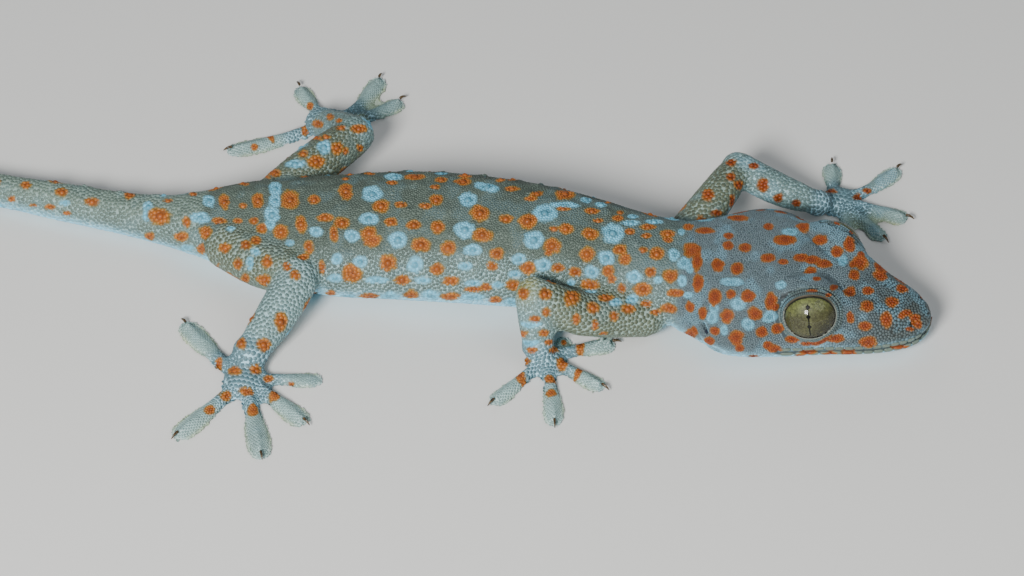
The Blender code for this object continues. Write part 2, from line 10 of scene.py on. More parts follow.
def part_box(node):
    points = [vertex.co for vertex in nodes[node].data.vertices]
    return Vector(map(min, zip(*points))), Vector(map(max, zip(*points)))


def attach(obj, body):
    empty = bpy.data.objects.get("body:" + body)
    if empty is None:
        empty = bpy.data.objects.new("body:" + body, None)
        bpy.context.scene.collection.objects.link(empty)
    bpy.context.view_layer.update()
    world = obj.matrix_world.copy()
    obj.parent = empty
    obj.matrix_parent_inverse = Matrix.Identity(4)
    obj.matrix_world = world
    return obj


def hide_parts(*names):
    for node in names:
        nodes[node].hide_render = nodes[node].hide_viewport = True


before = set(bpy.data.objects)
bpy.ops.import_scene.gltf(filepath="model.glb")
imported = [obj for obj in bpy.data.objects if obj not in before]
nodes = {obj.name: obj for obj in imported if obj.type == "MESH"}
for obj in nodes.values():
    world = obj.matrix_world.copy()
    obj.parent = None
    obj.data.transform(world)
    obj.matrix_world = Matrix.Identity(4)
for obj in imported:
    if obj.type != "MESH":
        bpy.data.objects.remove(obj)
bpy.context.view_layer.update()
mm = 0.001
dice = np.random.default_rng(11)


# small helpers

def only(obj):
    bpy.ops.object.select_all(action="DESELECT")
    obj.select_set(True)
    bpy.context.view_layer.objects.active = obj


def enterEdit(obj, choose="SELECT"):
    only(obj)
    bpy.ops.object.mode_set(mode="EDIT")
    bpy.ops.mesh.select_all(action=choose)


def leaveEdit():
    bpy.ops.object.mode_set(mode="OBJECT")


def applyModifier(obj, kind, **settings):
    modifier = obj.modifiers.new(kind.lower(), kind)
    for key, value in settings.items():
        setattr(modifier, key, value)
    only(obj)
    bpy.ops.object.modifier_apply(modifier=modifier.name)


def copyMesh(name, source):
    copy = bpy.data.objects.new(name, source.data.copy())
    bpy.context.collection.objects.link(copy)
    return copy


def joinAll(parts):
    only(parts[0])
    for part in parts:
        part.select_set(True)
    bpy.ops.object.join()
    return bpy.context.object


def shadeSmooth(mesh):
    mesh.polygons.foreach_set("use_smooth", np.ones(len(mesh.polygons), dtype=bool))


def readValues(rows, key, width, kind=float):
    values = np.empty(len(rows) * width, dtype=kind)
    rows.foreach_get(key, values)
    return values.reshape(-1, width)


def readPoints(mesh):
    return readValues(mesh.vertices, "co", 3)


def readNormals(mesh):
    return readValues(mesh.vertex_normals, "vector", 3)


def readEdges(mesh):
    return readValues(mesh.edges, "vertices", 2, np.int32)


def readTriangles(mesh):
    mesh.calc_loop_triangles()
    return readValues(mesh.loop_triangles, "vertices", 3, np.int32)


def writePoints(mesh, points):
    mesh.vertices.foreach_set("co", points.ravel())
    mesh.update()


def unit(vectors):
    return vectors / np.maximum(np.linalg.norm(vectors, axis=-1, keepdims=True), 1e-12)


def rowDots(first, second):
    return np.einsum("ij,ij->i", first, second)


def step(value, low, high):                       # 0 at low, 1 at high, soft between them
    share = np.clip((value - low) / (high - low), 0.0, 1.0)
    return share * share * (3 - 2 * share)


def blend(base, goal, share):                     # between colours, by one share or a share for each row
    if np.ndim(share) == 1:
        share = share[:, None]
    return base + (goal - base) * share


def degreesFrom(cosine):
    return np.degrees(np.arccos(np.clip(cosine, -1, 1)))


def middleOf(name):
    low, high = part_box(name)
    return (np.array(low) + np.array(high)) / 2


def tint(red, green, blue, vivid=1.3):            # screen colour, 0 to 255, to the shader's own scale
    colour = np.array((red, green, blue)) / 255.0
    colour = np.where(colour <= 0.04045, colour / 12.92, ((colour + 0.055) / 1.055) ** 2.4)
    return np.maximum(colour.mean() + (colour - colour.mean()) * vivid, 0.004)


def cloud(points, size, seed):                    # smooth noise from -1 to 1 at places in space
    places = points / size + seed * 7.31
    corner = np.floor(places).astype(np.int64)
    part = places - corner
    part = part * part * (3 - 2 * part)
    total = np.zeros(len(points))
    for offset in np.ndindex(2, 2, 2):
        key, weight = seed * 2654435761, 1.0
        for k, prime in enumerate((73856093, 19349663, 83492791)):
            key = key ^ (corner[:, k] + offset[k]) * prime
            weight = weight * (part[:, k] if offset[k] else 1 - part[:, k])
        key = key & 0x7FFFFFFF
        key = (key ^ (key >> 13)) * 1274126177 & 0x7FFFFFFF
        key = (key ^ (key >> 16)) & 0xFFFF
        total += weight * (key / 32767.5 - 1.0)
    return total


def smoothField(values, edges, rounds, amount=0.6):
    first, second = edges.T
    size = len(values)
    count = np.bincount(first, minlength=size) + np.bincount(second, minlength=size)
    for _ in range(rounds):
        sums = [np.bincount(first, values[second, k], size) + np.bincount(second, values[first, k], size)
                for k in range(values.shape[1])]
        values = values + amount * (np.stack(sums, 1) / count[:, None] - values)
    return values


def surfaceTree(mesh):
    triangles = readTriangles(mesh)
    return BVHTree.FromPolygons(readPoints(mesh).tolist(), triangles.tolist()), triangles


def pointTree(rows):
    tree = KDTree(len(rows))
    for number, place in enumerate(rows):
        tree.insert(place, number)
    tree.balance()
    return tree


def cornerShares(points, a, b, c):                # how much each corner of its triangle counts at a point
    normal = np.cross(b - a, c - a)
    size = np.maximum(rowDots(normal, normal), 1e-30)
    second = rowDots(np.cross(points - a, c - a), normal) / size
    third = rowDots(np.cross(b - a, points - a), normal) / size
    shares = np.clip(np.stack((1 - second - third, second, third), 1), 0, 1)
    return shares / shares.sum(1, keepdims=True)


# nodes of the materials, whose patterns all read Object coordinates

def newMaterial(name):
    material = bpy.data.materials.new(name)
    material.use_nodes = True
    tree = material.node_tree
    return material, tree, tree.nodes["Principled BSDF"]


def addNoise(tree, place, scale, detail):
    noise = tree.nodes.new("ShaderNodeTexNoise")
    noise.inputs["Scale"].default_value = scale
    noise.inputs["Detail"].default_value = detail
    tree.links.new(place, noise.inputs["Vector"])
    return noise.outputs["Fac"]


def addPlace(tree):
    return tree.nodes.new("ShaderNodeTexCoord").outputs["Object"]


def addRange(tree, value, low, high):             # noise keeps mostly between 0.3 and 0.7
    node = tree.nodes.new("ShaderNodeMapRange")
    for key, number in (("From Min", 0.3), ("From Max", 0.7), ("To Min", low), ("To Max", high)):
        node.inputs[key].default_value = number
    tree.links.new(value, node.inputs["Value"])
    return node.outputs["Result"]


def addBump(tree, shader, height, strength, distance):
    bump = tree.nodes.new("ShaderNodeBump")
    bump.inputs["Strength"].default_value = strength
    bump.inputs["Distance"].default_value = distance
    tree.links.new(height, bump.inputs["Height"])
    tree.links.new(bump.outputs["Normal"], shader.inputs["Normal"])


def addTone(tree, shader, level):                 # the mesh's own colours, made lighter and darker
    attribute = tree.nodes.new("ShaderNodeAttribute")
    attribute.attribute_name = "tone"
    shade = tree.nodes.new("ShaderNodeMix")
    shade.data_type = "RGBA"
    shade.blend_type = "MULTIPLY"
    shade.inputs["Factor"].default_value = 1.0
    grey = tree.nodes.new("ShaderNodeCombineColor")
    for key in ("Red", "Green", "Blue"):
        tree.links.new(level, grey.inputs[key])
    tree.links.new(attribute.outputs["Color"], shade.inputs["A"])
    tree.links.new(grey.outputs["Color"], shade.inputs["B"])
    tree.links.new(shade.outputs["Result"], shader.inputs["Base Color"])


# camera at the photograph's angle, soft studio light, pale floor

camera = {"azimuth": 9.8, "elevation": 45.0, "distance": 0.700, "lens": 122.5, "sensor": 36.0,
          "frame": (1024, 576)}
lights = {
    "key": {"place": (-0.121, -0.627, 0.482), "size": 0.22, "power": 8.5, "colour": (1.0, 0.985, 0.96)},
    "fill": {"place": (0.50, -0.20, 0.65), "size": 0.60, "power": 1.4, "colour": (0.95, 0.98, 1.0)},
    "back": {"place": (-0.35, 0.60, 0.55), "size": 0.60, "power": 0.9, "colour": (0.95, 0.97, 1.0)},
}
studio = {"sky": (0.80, 0.86, 0.92, 1), "strength": 0.16, "floor": (0.80, 0.80, 0.78, 1), "roughness": 0.85,
          "floor size": 6.0, "floor level": -0.02}


def makeCamera():
    turn, rise = math.radians(camera["azimuth"]), math.radians(camera["elevation"])
    back = Vector((math.sin(turn) * math.cos(rise), -math.cos(turn) * math.cos(rise), math.sin(rise)))
    heading = (-back).to_track_quat("-Z", "Y")
    bpy.ops.object.camera_add(location=back * camera["distance"], rotation=heading.to_euler())
    cam = bpy.context.object
    cam.data.lens = camera["lens"]
    cam.data.sensor_width = camera["sensor"]
    cam.data.clip_start, cam.data.clip_end = 0.01, 20.0
    bpy.context.scene.camera = cam
    return np.array(back * camera["distance"]), np.array(heading.to_matrix())


def photoRay(x, y):                               # direction through a pixel of the photograph
    wide, high = camera["frame"]
    reach = camera["sensor"] / camera["lens"] / wide
    return eyeTurn @ np.array(((x - wide / 2) * reach, (high / 2 - y) * reach, -1.0))


def makeLights():
    for name, values in lights.items():
        place = Vector(values["place"])
        bpy.ops.object.light_add(type="AREA", location=place,
                                 rotation=(-place).to_track_quat("-Z", "Y").to_euler())
        lamp = bpy.context.object
        lamp.name = name
        lamp.data.shape = "DISK"
        lamp.data.size = values["size"]
        lamp.data.energy = values["power"]
        lamp.data.color = values["colour"]
    world = bpy.data.worlds.new("studio")
    world.use_nodes = True
    world.node_tree.nodes["Background"].inputs["Color"].default_value = studio["sky"]
    world.node_tree.nodes["Background"].inputs["Strength"].default_value = studio["strength"]
    bpy.context.scene.world = world


def makeFloor():
    bpy.ops.mesh.primitive_plane_add(size=studio["floor size"], location=(0, 0, studio["floor level"] * mm))
    floor = bpy.context.object
    floor.name = "floor"
    material, _, shader = newMaterial("pale floor")
    shader.inputs["Base Color"].default_value = studio["floor"]
    shader.inputs["Roughness"].default_value = studio["roughness"]
    floor.data.materials.append(material)


eyePlace, eyeTurn = makeCamera()
makeLights()
makeFloor()
print("camera, lights and floor are set")


# places on the head: along its middle line, out to a side and up

headLine = {
    "along": (34, 38, 42, 46, 50, 55, 60, 65, 70, 75, 79, 81.4, 82.8, 83.5, 83.8),
    "middle": (1.1, 1.2, 1.5, 1.7, 1.6, 1.2, 0.7, 0.1, -0.4, -0.8, -1.1, -1.3, -1.4, -1.45, -1.5),
    "half": (12.1, 13.6, 16.0, 17.8, 17.9, 16.4, 14.4, 12.2, 10.5, 8.8, 6.9, 5.1, 3.4, 1.9, 0.5),
    "mouth": (6.6, 6.4, 6.2, 6.0, 5.8, 5.5, 5.1, 4.7, 4.5, 4.5, 4.6, 4.7, 4.8, 4.9, 4.9),
    "turn": 8.0, "neck": (34.5, 48.5),
}
eyeValues = {
    "radius": 5.8, "axis": (0.155, 0.93, 0.38), "roll": -10.0, "near": 8.0,
    "opening": {"middle": 53.0, "ahead": 1.6, "up": 2.4, "long": 5.4, "slant": 0.8},
    "folds": {"places": (8.4, 15.2), "width": 1.15, "depth": 0.22},
}


def headTurn(along):
    return math.radians(headLine["turn"]) * step(along, *headLine["neck"])


def headPlace(along, out, up, side):
    middle = np.interp(along, headLine["along"], headLine["middle"])
    turn = headTurn(along)
    return np.array((along + side * out * math.sin(turn), middle + side * out * math.cos(turn), up)) * mm


def mirrorHead(point):                            # the same place on the head's other side
    x, y, z = point / mm
    turn = headTurn(x)
    out = (np.interp(x, headLine["along"], headLine["middle"]) - y) / math.cos(turn)
    return np.array((x + 2 * out * math.sin(turn), y + 2 * out * math.cos(turn), z)) * mm


def eyeFrame(side):                               # centre, axis outwards, and the two directions across it
    turn = Matrix.Rotation(-math.radians(headLine["turn"]), 3, "Z")
    ahead, out, up = eyeValues["axis"]
    axis = np.array((turn @ Vector((ahead, side * out, up))).normalized())
    lift = unit(np.array((0.0, 0.0, 1.0)) - axis * axis[2])
    roll = -side * math.radians(eyeValues["roll"])
    lift = lift * math.cos(roll) + np.cross(lift, axis) * math.sin(roll)
    return middleOf("eye_right" if side < 0 else "eye_left"), axis, np.cross(lift, axis), lift


eyes = {side: eyeFrame(side) for side in (-1, 1)}


def lidOpening(ahead, up):                        # half angle of the lids' opening, by direction
    opening = eyeValues["opening"]
    return (opening["middle"] + opening["ahead"] * ahead + opening["up"] * up
            + opening["long"] * (ahead ** 2 - up ** 2) + opening["slant"] * 2 * ahead * up)


def eyeAngles(points, side):                      # distance from the eye's middle, degrees outside its lids
    centre, axis, across, lift = eyes[side]
    away = points - centre
    distance = np.linalg.norm(away, axis=1)
    way = away / np.maximum(distance, 1e-9)[:, None]
    rest = np.maximum(np.hypot(way @ across, way @ lift), 1e-9)
    limit = lidOpening(-side * (way @ across) / rest, way @ lift / rest)
    return distance, way, degreesFrom(way @ axis) - limit


# toes, from the palm out: knuckle, tip, bend, width

feet = {
    "hand_right": {"palm": (10.0, -19.6), "heading": -60.0, "toes": (
        ((11.4, -16.6), (13.0, -12.2), 0.0, 3.3), ((14.4, -15.6), (22.9, -12.4), 0.0, 4.8),
        ((14.6, -20.6), (22.5, -24.8), 0.0, 4.6), ((11.5, -23.7), (14.6, -36.2), 0.02, 4.6),
        ((6.8, -24.2), (1.6, -32.6), 0.0, 4.4))},
    "hand_left": {"palm": (61.9, 35.4), "heading": 30.0, "toes": (
        ((63.6, 31.6), (65.2, 26.4), 0.0, 3.3), ((67.2, 31.6), (72.4, 26.0), 0.0, 4.2),
        ((68.4, 34.0), (76.6, 33.0), 0.04, 5.1), ((66.2, 38.2), (73.4, 48.0), -0.08, 4.6),
        ((60.4, 38.6), (59.4, 47.0), 0.0, 4.6))},
    "foot_right": {"palm": (-47.0, -34.6), "heading": -90.0, "toes": (
        ((-42.4, -34.0), (-31.9, -31.8), 0.03, 4.2), ((-41.7, -38.0), (-32.8, -43.8), 0.05, 5.2),
        ((-44.6, -40.2), (-39.2, -54.2), 0.0, 5.4), ((-49.9, -40.0), (-57.0, -51.8), 0.0, 5.4),
        ((-52.4, -32.0), (-62.8, -21.0), -0.03, 5.4))},
    "foot_left": {"palm": (-45.2, 40.8), "heading": 165.0, "toes": (
        ((-42.4, 40.4), (-38.6, 42.0), 0.0, 3.4), ((-37.4, 43.9), (-32.5, 51.0), 0.0, 4.8),
        ((-41.0, 45.6), (-38.4, 57.4), -0.05, 5.0), ((-49.3, 43.8), (-55.0, 51.6), 0.04, 4.6),
        ((-53.0, 36.9), (-65.6, 29.2), 0.12, 5.2))},
}
toeWidth = {
    "along": (0.0, 0.25, 0.42, 0.60, 0.78, 0.90, 0.97, 1.0),
    "share": (0.62, 0.58, 0.64, 0.90, 1.0, 0.93, 0.64, 0.34),
}


def toeCurve(palm, knuckle, tip, bend, steps):    # points along a toe on the floor, and its direction there
    palm, knuckle, tip = np.array(palm), np.array(knuckle), np.array(tip)
    start = palm + (knuckle - palm) * 0.4
    run = tip - knuckle
    middle = knuckle + run * 0.25 + np.array((-run[1], run[0])) * bend
    t = steps[:, None]
    flat = start * (1 - t) ** 2 + middle * 2 * t * (1 - t) + tip * t * t
    ahead = 2 * (1 - t) * (middle - start) + 2 * t * (tip - middle)
    zero = np.zeros((len(steps), 1))
    return np.hstack((flat, zero)) * mm, unit(np.hstack((ahead, zero)))


def toeHalf(width, share):
    return width / 2 * np.interp(share, toeWidth["along"], toeWidth["share"])


# one skin over all the flesh, so that no seam shows

skinValues = {
    "merge": 0.002, "swell": 0.36, "voxel": 0.64, "coat": 0.25, "lowest": 0.2,
    "rounds": 22, "pulls": (0.55, -0.57), "low": 2.6, "low pull": 0.45,
    "dome": {"radius": 6.5, "segments": 32, "rings": 20},
}
flesh = [name for name in nodes if not name.startswith(("eye_", "claw_"))]


def makeSkin():
    skin = joinAll([copyMesh("skin", nodes[name]) for name in flesh])
    skin.data.materials.clear()
    enterEdit(skin)
    bpy.ops.mesh.remove_doubles(threshold=skinValues["merge"] * mm)
    leaveEdit()
    parts, dome = [skin], skinValues["dome"]
    for centre, _, _, _ in eyes.values():         # the lids' dome is closed first and opened again below
        bpy.ops.mesh.primitive_uv_sphere_add(segments=dome["segments"], ring_count=dome["rings"],
                                             radius=dome["radius"] * mm, location=centre)
        parts.append(bpy.context.object)
    skin = joinAll(parts)
    applyModifier(skin, "DISPLACE", strength=skinValues["swell"] * mm, mid_level=0.0)
    applyModifier(skin, "REMESH", mode="VOXEL", voxel_size=skinValues["voxel"] * mm, adaptivity=0.0)
    skin.name = skin.data.name = "skin"
    return skin


def relaxSkin(skin):                              # rounds off the facets and keeps the volume
    mesh = skin.data
    edges = readEdges(mesh)
    points = readPoints(mesh)
    low = points[:, 2] < skinValues["low"] * mm
    amount = np.where(low, skinValues["low pull"], 1.0)[:, None]
    for _ in range(skinValues["rounds"]):
        for pull in skinValues["pulls"]:
            points += (smoothField(points, edges, 1, 1.0) - points) * pull * amount
    writePoints(mesh, points)
    points -= readNormals(mesh) * (skinValues["swell"] * mm + skinValues["coat"] * mm)
    points[:, 2] = np.maximum(points[:, 2], skinValues["lowest"] * mm)
    writePoints(mesh, points)


skin = makeSkin()
relaxSkin(skin)
print("skin:", len(skin.data.polygons), "faces")


# finer skin round the mouth, eyes, ears, nostrils and creases, then the creases are pressed in
# a crease is drawn through pixels of the photograph, and its twin is on the head's other side

creases = {
    "brow": {"line": ((790, 276), (800, 271), (812, 270), (826, 272), (837, 280), (842, 290)),
             "depth": 0.35, "width": 0.7, "twin": True},
    "temple": {"line": ((722, 258), (736, 259), (750, 262), (762, 261)), "depth": 0.22, "width": 0.8,
               "twin": True},
    "behind eye": {"line": ((774, 285), (768, 300), (770, 318), (778, 334)), "depth": 0.16, "width": 1.0,
                   "twin": True},
    "jaw": {"line": ((684, 300), (690, 322), (704, 344), (722, 352)), "depth": 0.30, "width": 0.9,
            "twin": True},
    "nape": {"line": ((693, 286), (689, 268), (688, 250), (694, 236)), "depth": 0.22, "width": 0.8,
             "twin": False},
    "throat 1": {"line": ((662, 282), (665, 296), (672, 310)), "depth": 0.20, "width": 0.5, "twin": False},
    "throat 2": {"line": ((670, 278), (673, 294), (681, 310)), "depth": 0.20, "width": 0.5, "twin": False},
    "throat 3": {"line": ((678, 276), (681, 292), (689, 308)), "depth": 0.20, "width": 0.5, "twin": False},
    "canthus": {"line": ((846, 296), (862, 300), (880, 306), (898, 314)), "depth": -0.18, "width": 1.2,
                "twin": True},
}
# dark is how much painted shade darkens the skin along the mouth
mouth = {"first": 57.5, "last": 83.8, "depth": 0.55, "width": 0.62, "bare": 1.28, "dark": 0.6}
pits = {                                          # half length and half width pressed in, bare, and dark with painted shade; colour is that painted shade
    "ear": {"place": (42.2, 14.2, 9.0), "way": (0.58, 0.0, -0.80), "line": 3.0, "size": (3.4, 0.62),
            "depth": 1.5, "bare": (3.5, 0.75), "dark": (3.4, 0.62), "colour": tint(24, 26, 46)},
    "nostril": {"place": (80.3, 3.2, 8.1), "way": (1.0, 0.0, 0.0), "line": 0.0, "size": (0.8, 0.8),
                "depth": 1.0, "bare": (0.72, 0.72), "dark": (0.75, 0.75), "colour": tint(84, 74, 92)},
}
eyeBed = {                                        # the cone and the ball that the skin is planed down to
    "level": 2.15, "from": 5.7, "slope": 0.42, "lean": 0.14, "steep": 1.16, "ball": 6.2, "pull": 0.94,
    "rest": (3.5, 14.0), "behind": -3.0, "tall": 12.0, "soft from": 6.4, "soft below": 1.2, "rounds": 10,
}
lidShape = {                                      # the lids over the ball, by degrees outside their opening
    "rim": 5.89, "swell": 0.30, "swollen": 9.0, "thin": (17.0, 5.0), "near": (8.6, 7.4), "edge": 0.48,
    "inside": -0.2, "bowl": 3.3, "end": 24.0,
}
finer = {                                         # reach round the lines, degrees outside the lids' opening
    "all": {"reach": 1.3, "lids": (-4.5, 22.0)},
    "fine": {"reach": 0.8, "lids": (-2.8, 16.8)},
    "rim": {"reach": 0.0, "lids": (-2.2, 2.2)},
}


def headRow(first, last, count, up, side):        # a row of places along the mouth's line
    rows = []
    for along in np.linspace(first, last, count):
        half = np.interp(along, headLine["along"], headLine["half"])
        level = np.interp(along, headLine["along"], headLine["mouth"])
        rows.append(headPlace(along, half, level + up, side))
    return np.array(rows)


def lineOn(tree, pixels):                         # a drawn line of photograph pixels, laid on the skin
    hits = []
    for (x0, y0), (x1, y1) in zip(pixels[:-1], pixels[1:]):
        steps = max(2, int(math.hypot(x1 - x0, y1 - y0) / 1.2))
        for share in np.linspace(0, 1, steps, endpoint=False):
            ray = photoRay(x0 + (x1 - x0) * share, y0 + (y1 - y0) * share)
            hit = tree.ray_cast(Vector(eyePlace), Vector(ray))[0]
            if hit is not None:
                hits.append(np.array(hit))
    return np.array(hits)


def snap(tree, points):
    return np.array([tree.find_nearest(Vector(p))[0] for p in points])


def thicken(line):                                # closer points along a line
    rows = []
    for a, b in zip(line[:-1], line[1:]):
        count = max(1, int(np.linalg.norm(b - a) / (0.12 * mm)))
        rows += [a + (b - a) * k / count for k in range(count)]
    return np.array(rows)


def nearness(points, line):                       # distance of each point to a row of places, 1 if far off
    tree = pointTree(line)
    low, high = line.min(0) - 4 * mm, line.max(0) + 4 * mm
    distance = np.full(len(points), 1.0)
    for k in np.where(np.all((points > low) & (points < high), axis=1))[0]:
        distance[k] = tree.find(points[k])[2]
    return distance


def refine(skin, lines, values):
    mesh = skin.data
    points = readPoints(mesh)
    chosen = np.zeros(len(points), dtype=bool)
    for line in lines:
        chosen |= nearness(points, line) < values["reach"] * mm
    for side in eyes:
        distance, _, outside = eyeAngles(points, side)
        chosen |= (distance < 9 * mm) & (outside > values["lids"][0]) & (outside < values["lids"][1])
    enterEdit(skin, "DESELECT")
    leaveEdit()
    mesh.vertices.foreach_set("select", chosen)
    mesh.edges.foreach_set("select", chosen[readEdges(mesh)].all(1))
    mesh.polygons.foreach_set("select", [all(chosen[v] for v in p.vertices) for p in mesh.polygons])
    bpy.ops.object.mode_set(mode="EDIT")
    bpy.ops.mesh.subdivide(number_cuts=1, smoothness=0.0)
    leaveEdit()


def planeEyes(skin):                              # the skin round each eye falls gently to the lids' rim
    points, edges = readPoints(skin.data), readEdges(skin.data)
    nearest, farthest = eyeBed["rest"]
    for centre, axis, _, lift in eyes.values():
        away = points - centre
        height = away @ axis
        flat = away - height[:, None] * axis
        rest = np.linalg.norm(flat, axis=1)
        rise = flat @ lift / np.maximum(rest, 1e-9)
        slope = eyeBed["slope"] + eyeBed["lean"] * rise + eyeBed["steep"] * np.maximum(rise, 0) ** 1.5
        limit = (eyeBed["level"] + (rest / mm - eyeBed["from"]) * slope) * mm
        limit = np.maximum(limit, np.sqrt(np.maximum((eyeBed["ball"] * mm) ** 2 - rest ** 2, 0)))
        close = (rest > nearest * mm) & (rest < farthest * mm) & (height > eyeBed["behind"] * mm)
        close &= np.abs(away[:, 2]) < eyeBed["tall"] * mm
        high = close & (height > limit)
        points[high] -= axis * ((height - limit)[high] * eyeBed["pull"])[:, None]
        soft = close & (height > limit - eyeBed["soft below"] * mm) & (rest > eyeBed["soft from"] * mm)
        for _ in range(eyeBed["rounds"]):
            points += (smoothField(points, edges, 1, 1.0) - points) * (soft[:, None] * 0.5)
    writePoints(skin.data, points)


def lidFolds(outside, way, side):                 # folds round the opening, flatter below the eye
    folds = eyeValues["folds"]
    amount = sum(np.exp(-((outside - place) / folds["width"]) ** 2) for place in folds["places"])
    _, _, across, lift = eyes[side]
    return amount * (0.25 + 0.75 * step(way @ lift - 0.2 * side * (way @ across), -0.35, 0.25))


def openEyes(skin):                               # the lids' dome opens and its rim thins towards the eyeball
    points = readPoints(skin.data)
    for side, (centre, axis, _, _) in eyes.items():
        distance, way, outside = eyeAngles(points, side)
        near = step(distance, *(reach * mm for reach in lidShape["near"]))
        edge = (np.abs(outside) < lidShape["edge"]) & (distance < eyeValues["near"] * mm)
        aside = unit(way - (way @ axis)[:, None] * axis)
        angle = np.arccos(np.clip(way @ axis, -1, 1)) - np.radians(outside)
        onLine = np.cos(angle)[:, None] * axis + np.sin(angle)[:, None] * aside
        way = np.where(edge[:, None], onLine, way)     # the rim's corners go onto one clean line
        outside = np.where(edge, 0.0, outside)
        level = (lidShape["rim"] + lidShape["swell"] * step(outside, 0.0, lidShape["swollen"])) * mm
        rim = step(outside, *lidShape["thin"]) * near
        distance = distance + (level - distance) * rim
        distance = distance - lidFolds(outside, way, side) * eyeValues["folds"]["depth"] * mm * near
        inside = (outside < lidShape["inside"]) & (distance < eyeValues["near"] * mm)
        distance = np.where(inside, lidShape["bowl"] * mm, distance)
        moved = ((distance < eyeValues["near"] * mm) & (outside < lidShape["end"]))[:, None]
        points = np.where(moved, centre + way * distance[:, None], points)
    writePoints(skin.data, points)


def groove(points, line, values):                 # depth of a crease at each point
    return values["depth"] * mm * np.exp(-(nearness(points, line) / (values["width"] * 0.6 * mm)) ** 2)


def pitShare(points, place, way, long, across):   # 1 on the pit's rim and less inside it
    away = points - place
    along = away @ way
    rest = np.linalg.norm(away - along[:, None] * way, axis=1)
    return np.sqrt((along / (long * mm)) ** 2 + (rest / (across * mm)) ** 2)


def hollow(points, place, way, pit):              # depth of an ear or a nostril at each point
    return pit["depth"] * mm * (1 - step(pitShare(points, place, way, *pit["size"]), 0.55, 1.15))


def press(skin, depthAt, *values):
    points = readPoints(skin.data)
    points -= readNormals(skin.data) * depthAt(points, *values)[:, None]
    writePoints(skin.data, points)


def shapeHead(skin):
    planeEyes(skin)
    tree, _ = surfaceTree(skin.data)
    lines, holes = {}, []
    for side in (-1, 1):
        lines["mouth", side] = thicken(snap(tree, headRow(mouth["first"], mouth["last"], 60, 0.0, side)))
    lines["mouth", 0] = thicken(np.array((lines["mouth", -1][-1], lines["mouth", 1][-1])))
    for name, crease in creases.items():
        line = lineOn(tree, crease["line"])
        lines[name, -1] = thicken(line)
        if crease["twin"]:
            lines[name, 1] = thicken(snap(tree, [mirrorHead(p) for p in line]))
    for side in (-1, 1):
        for name, pit in pits.items():
            place = snap(tree, [headPlace(*pit["place"], side)])[0]
            way = unit(np.array(pit["way"]))
            holes.append((name, place, way))
            lines[name, side] = thicken(place + way * np.linspace(-1, 1, 7)[:, None] * pit["line"] * mm)
    refine(skin, lines.values(), finer["all"])
    refine(skin, [line for (name, _), line in lines.items() if name not in creases], finer["fine"])
    refine(skin, [], finer["rim"])
    openEyes(skin)
    for side in (-1, 0, 1):
        press(skin, groove, lines["mouth", side], mouth)
    for name, crease in creases.items():
        for side in (-1, 1):
            if (name, side) in lines:
                press(skin, groove, lines[name, side], crease)
    for name, place, way in holes:
        press(skin, hollow, place, way, pits[name])
    shadeSmooth(skin.data)
    return lines, holes


headLines, headHoles = shapeHead(skin)
skinPoints, skinNormals = readPoints(skin.data), readNormals(skin.data)
skinTree, skinTriangles = surfaceTree(skin.data)
print("head shaped:", len(skinTriangles), "triangles of skin")


def onSkin(points, tables):                       # nearest places on the skin, and the tables' values there
    found = [skinTree.find_nearest(place) for place in points.tolist()]
    places = np.array([f[0] for f in found])
    corners = skinTriangles[[f[2] for f in found]]
    shares = cornerShares(places, *(skinPoints[corners[:, k]] for k in range(3)))
    values = [sum(table[corners[:, k]] * shares[:, k:k + 1] for k in range(3)) for table in tables]
    return places, *values


# what each part of the body wears: spacing and height of its scales, how far they overlap, and the
# colours of a scale and of the seams between scales

coat = {
    "head": {"space": 0.46, "rise": 0.13, "lap": 0.0, "scale": (98, 111, 116), "seam": (62, 72, 76)},
    "snout": {"space": 0.60, "rise": 0.13, "lap": 0.0, "scale": (74, 82, 82), "seam": (48, 52, 50)},
    "neck": {"space": 0.52, "rise": 0.13, "lap": 0.2, "scale": (84, 98, 96), "seam": (118, 132, 130)},
    "back": {"space": 0.50, "rise": 0.13, "lap": 0.1, "scale": (76, 86, 80), "seam": (112, 124, 116)},
    "flank": {"space": 0.78, "rise": 0.13, "lap": 0.2, "scale": (88, 102, 98), "seam": (164, 190, 192)},
    "belly": {"space": 1.00, "rise": 0.12, "lap": 0.5, "scale": (162, 216, 240), "seam": (190, 228, 242)},
    "tail": {"space": 0.80, "rise": 0.14, "lap": 0.4, "scale": (104, 118, 110), "seam": (150, 168, 162)},
    "upper": {"space": 0.86, "rise": 0.16, "lap": 0.7, "scale": (84, 90, 76), "seam": (156, 174, 166)},
    "lower": {"space": 0.78, "rise": 0.15, "lap": 0.7, "scale": (104, 122, 120), "seam": (178, 206, 210)},
    "foot": {"space": 0.80, "rise": 0.15, "lap": 0.8, "scale": (88, 110, 116), "seam": (190, 224, 238)},
    "toe": {"space": 0.48, "rise": 0.10, "lap": 0.6, "scale": (132, 154, 152), "seam": (196, 216, 216)},
    "fringe": {"space": 0.50, "rise": 0.08, "lap": 0.4, "scale": (158, 160, 104), "seam": (190, 190, 138)},
}
column = {kind: number for number, kind in enumerate(coat)}
coatChange = {                                    # the slope or the place where one coat becomes another
    "flank share": {"back": 1.0, "neck": 0.75, "tail": 0.55, "head": 0.0, "snout": 0.0},
    "flank": (0.78, 0.42), "belly": (-0.10, -0.45), "low": (1.2, 4.0), "low share": 0.9,
    "snout": (66, 78), "pad": (0.34, 0.50), "fringe": (0.72, 0.95),
    "behind eyes": (68, 62), "finer": 0.12, "under": (-0.5, 34), "coarser": 1.25, "rounds": 6,
    "toe reach": 3.2, "toe end": 3.0, "toe margin": 0.35,
}


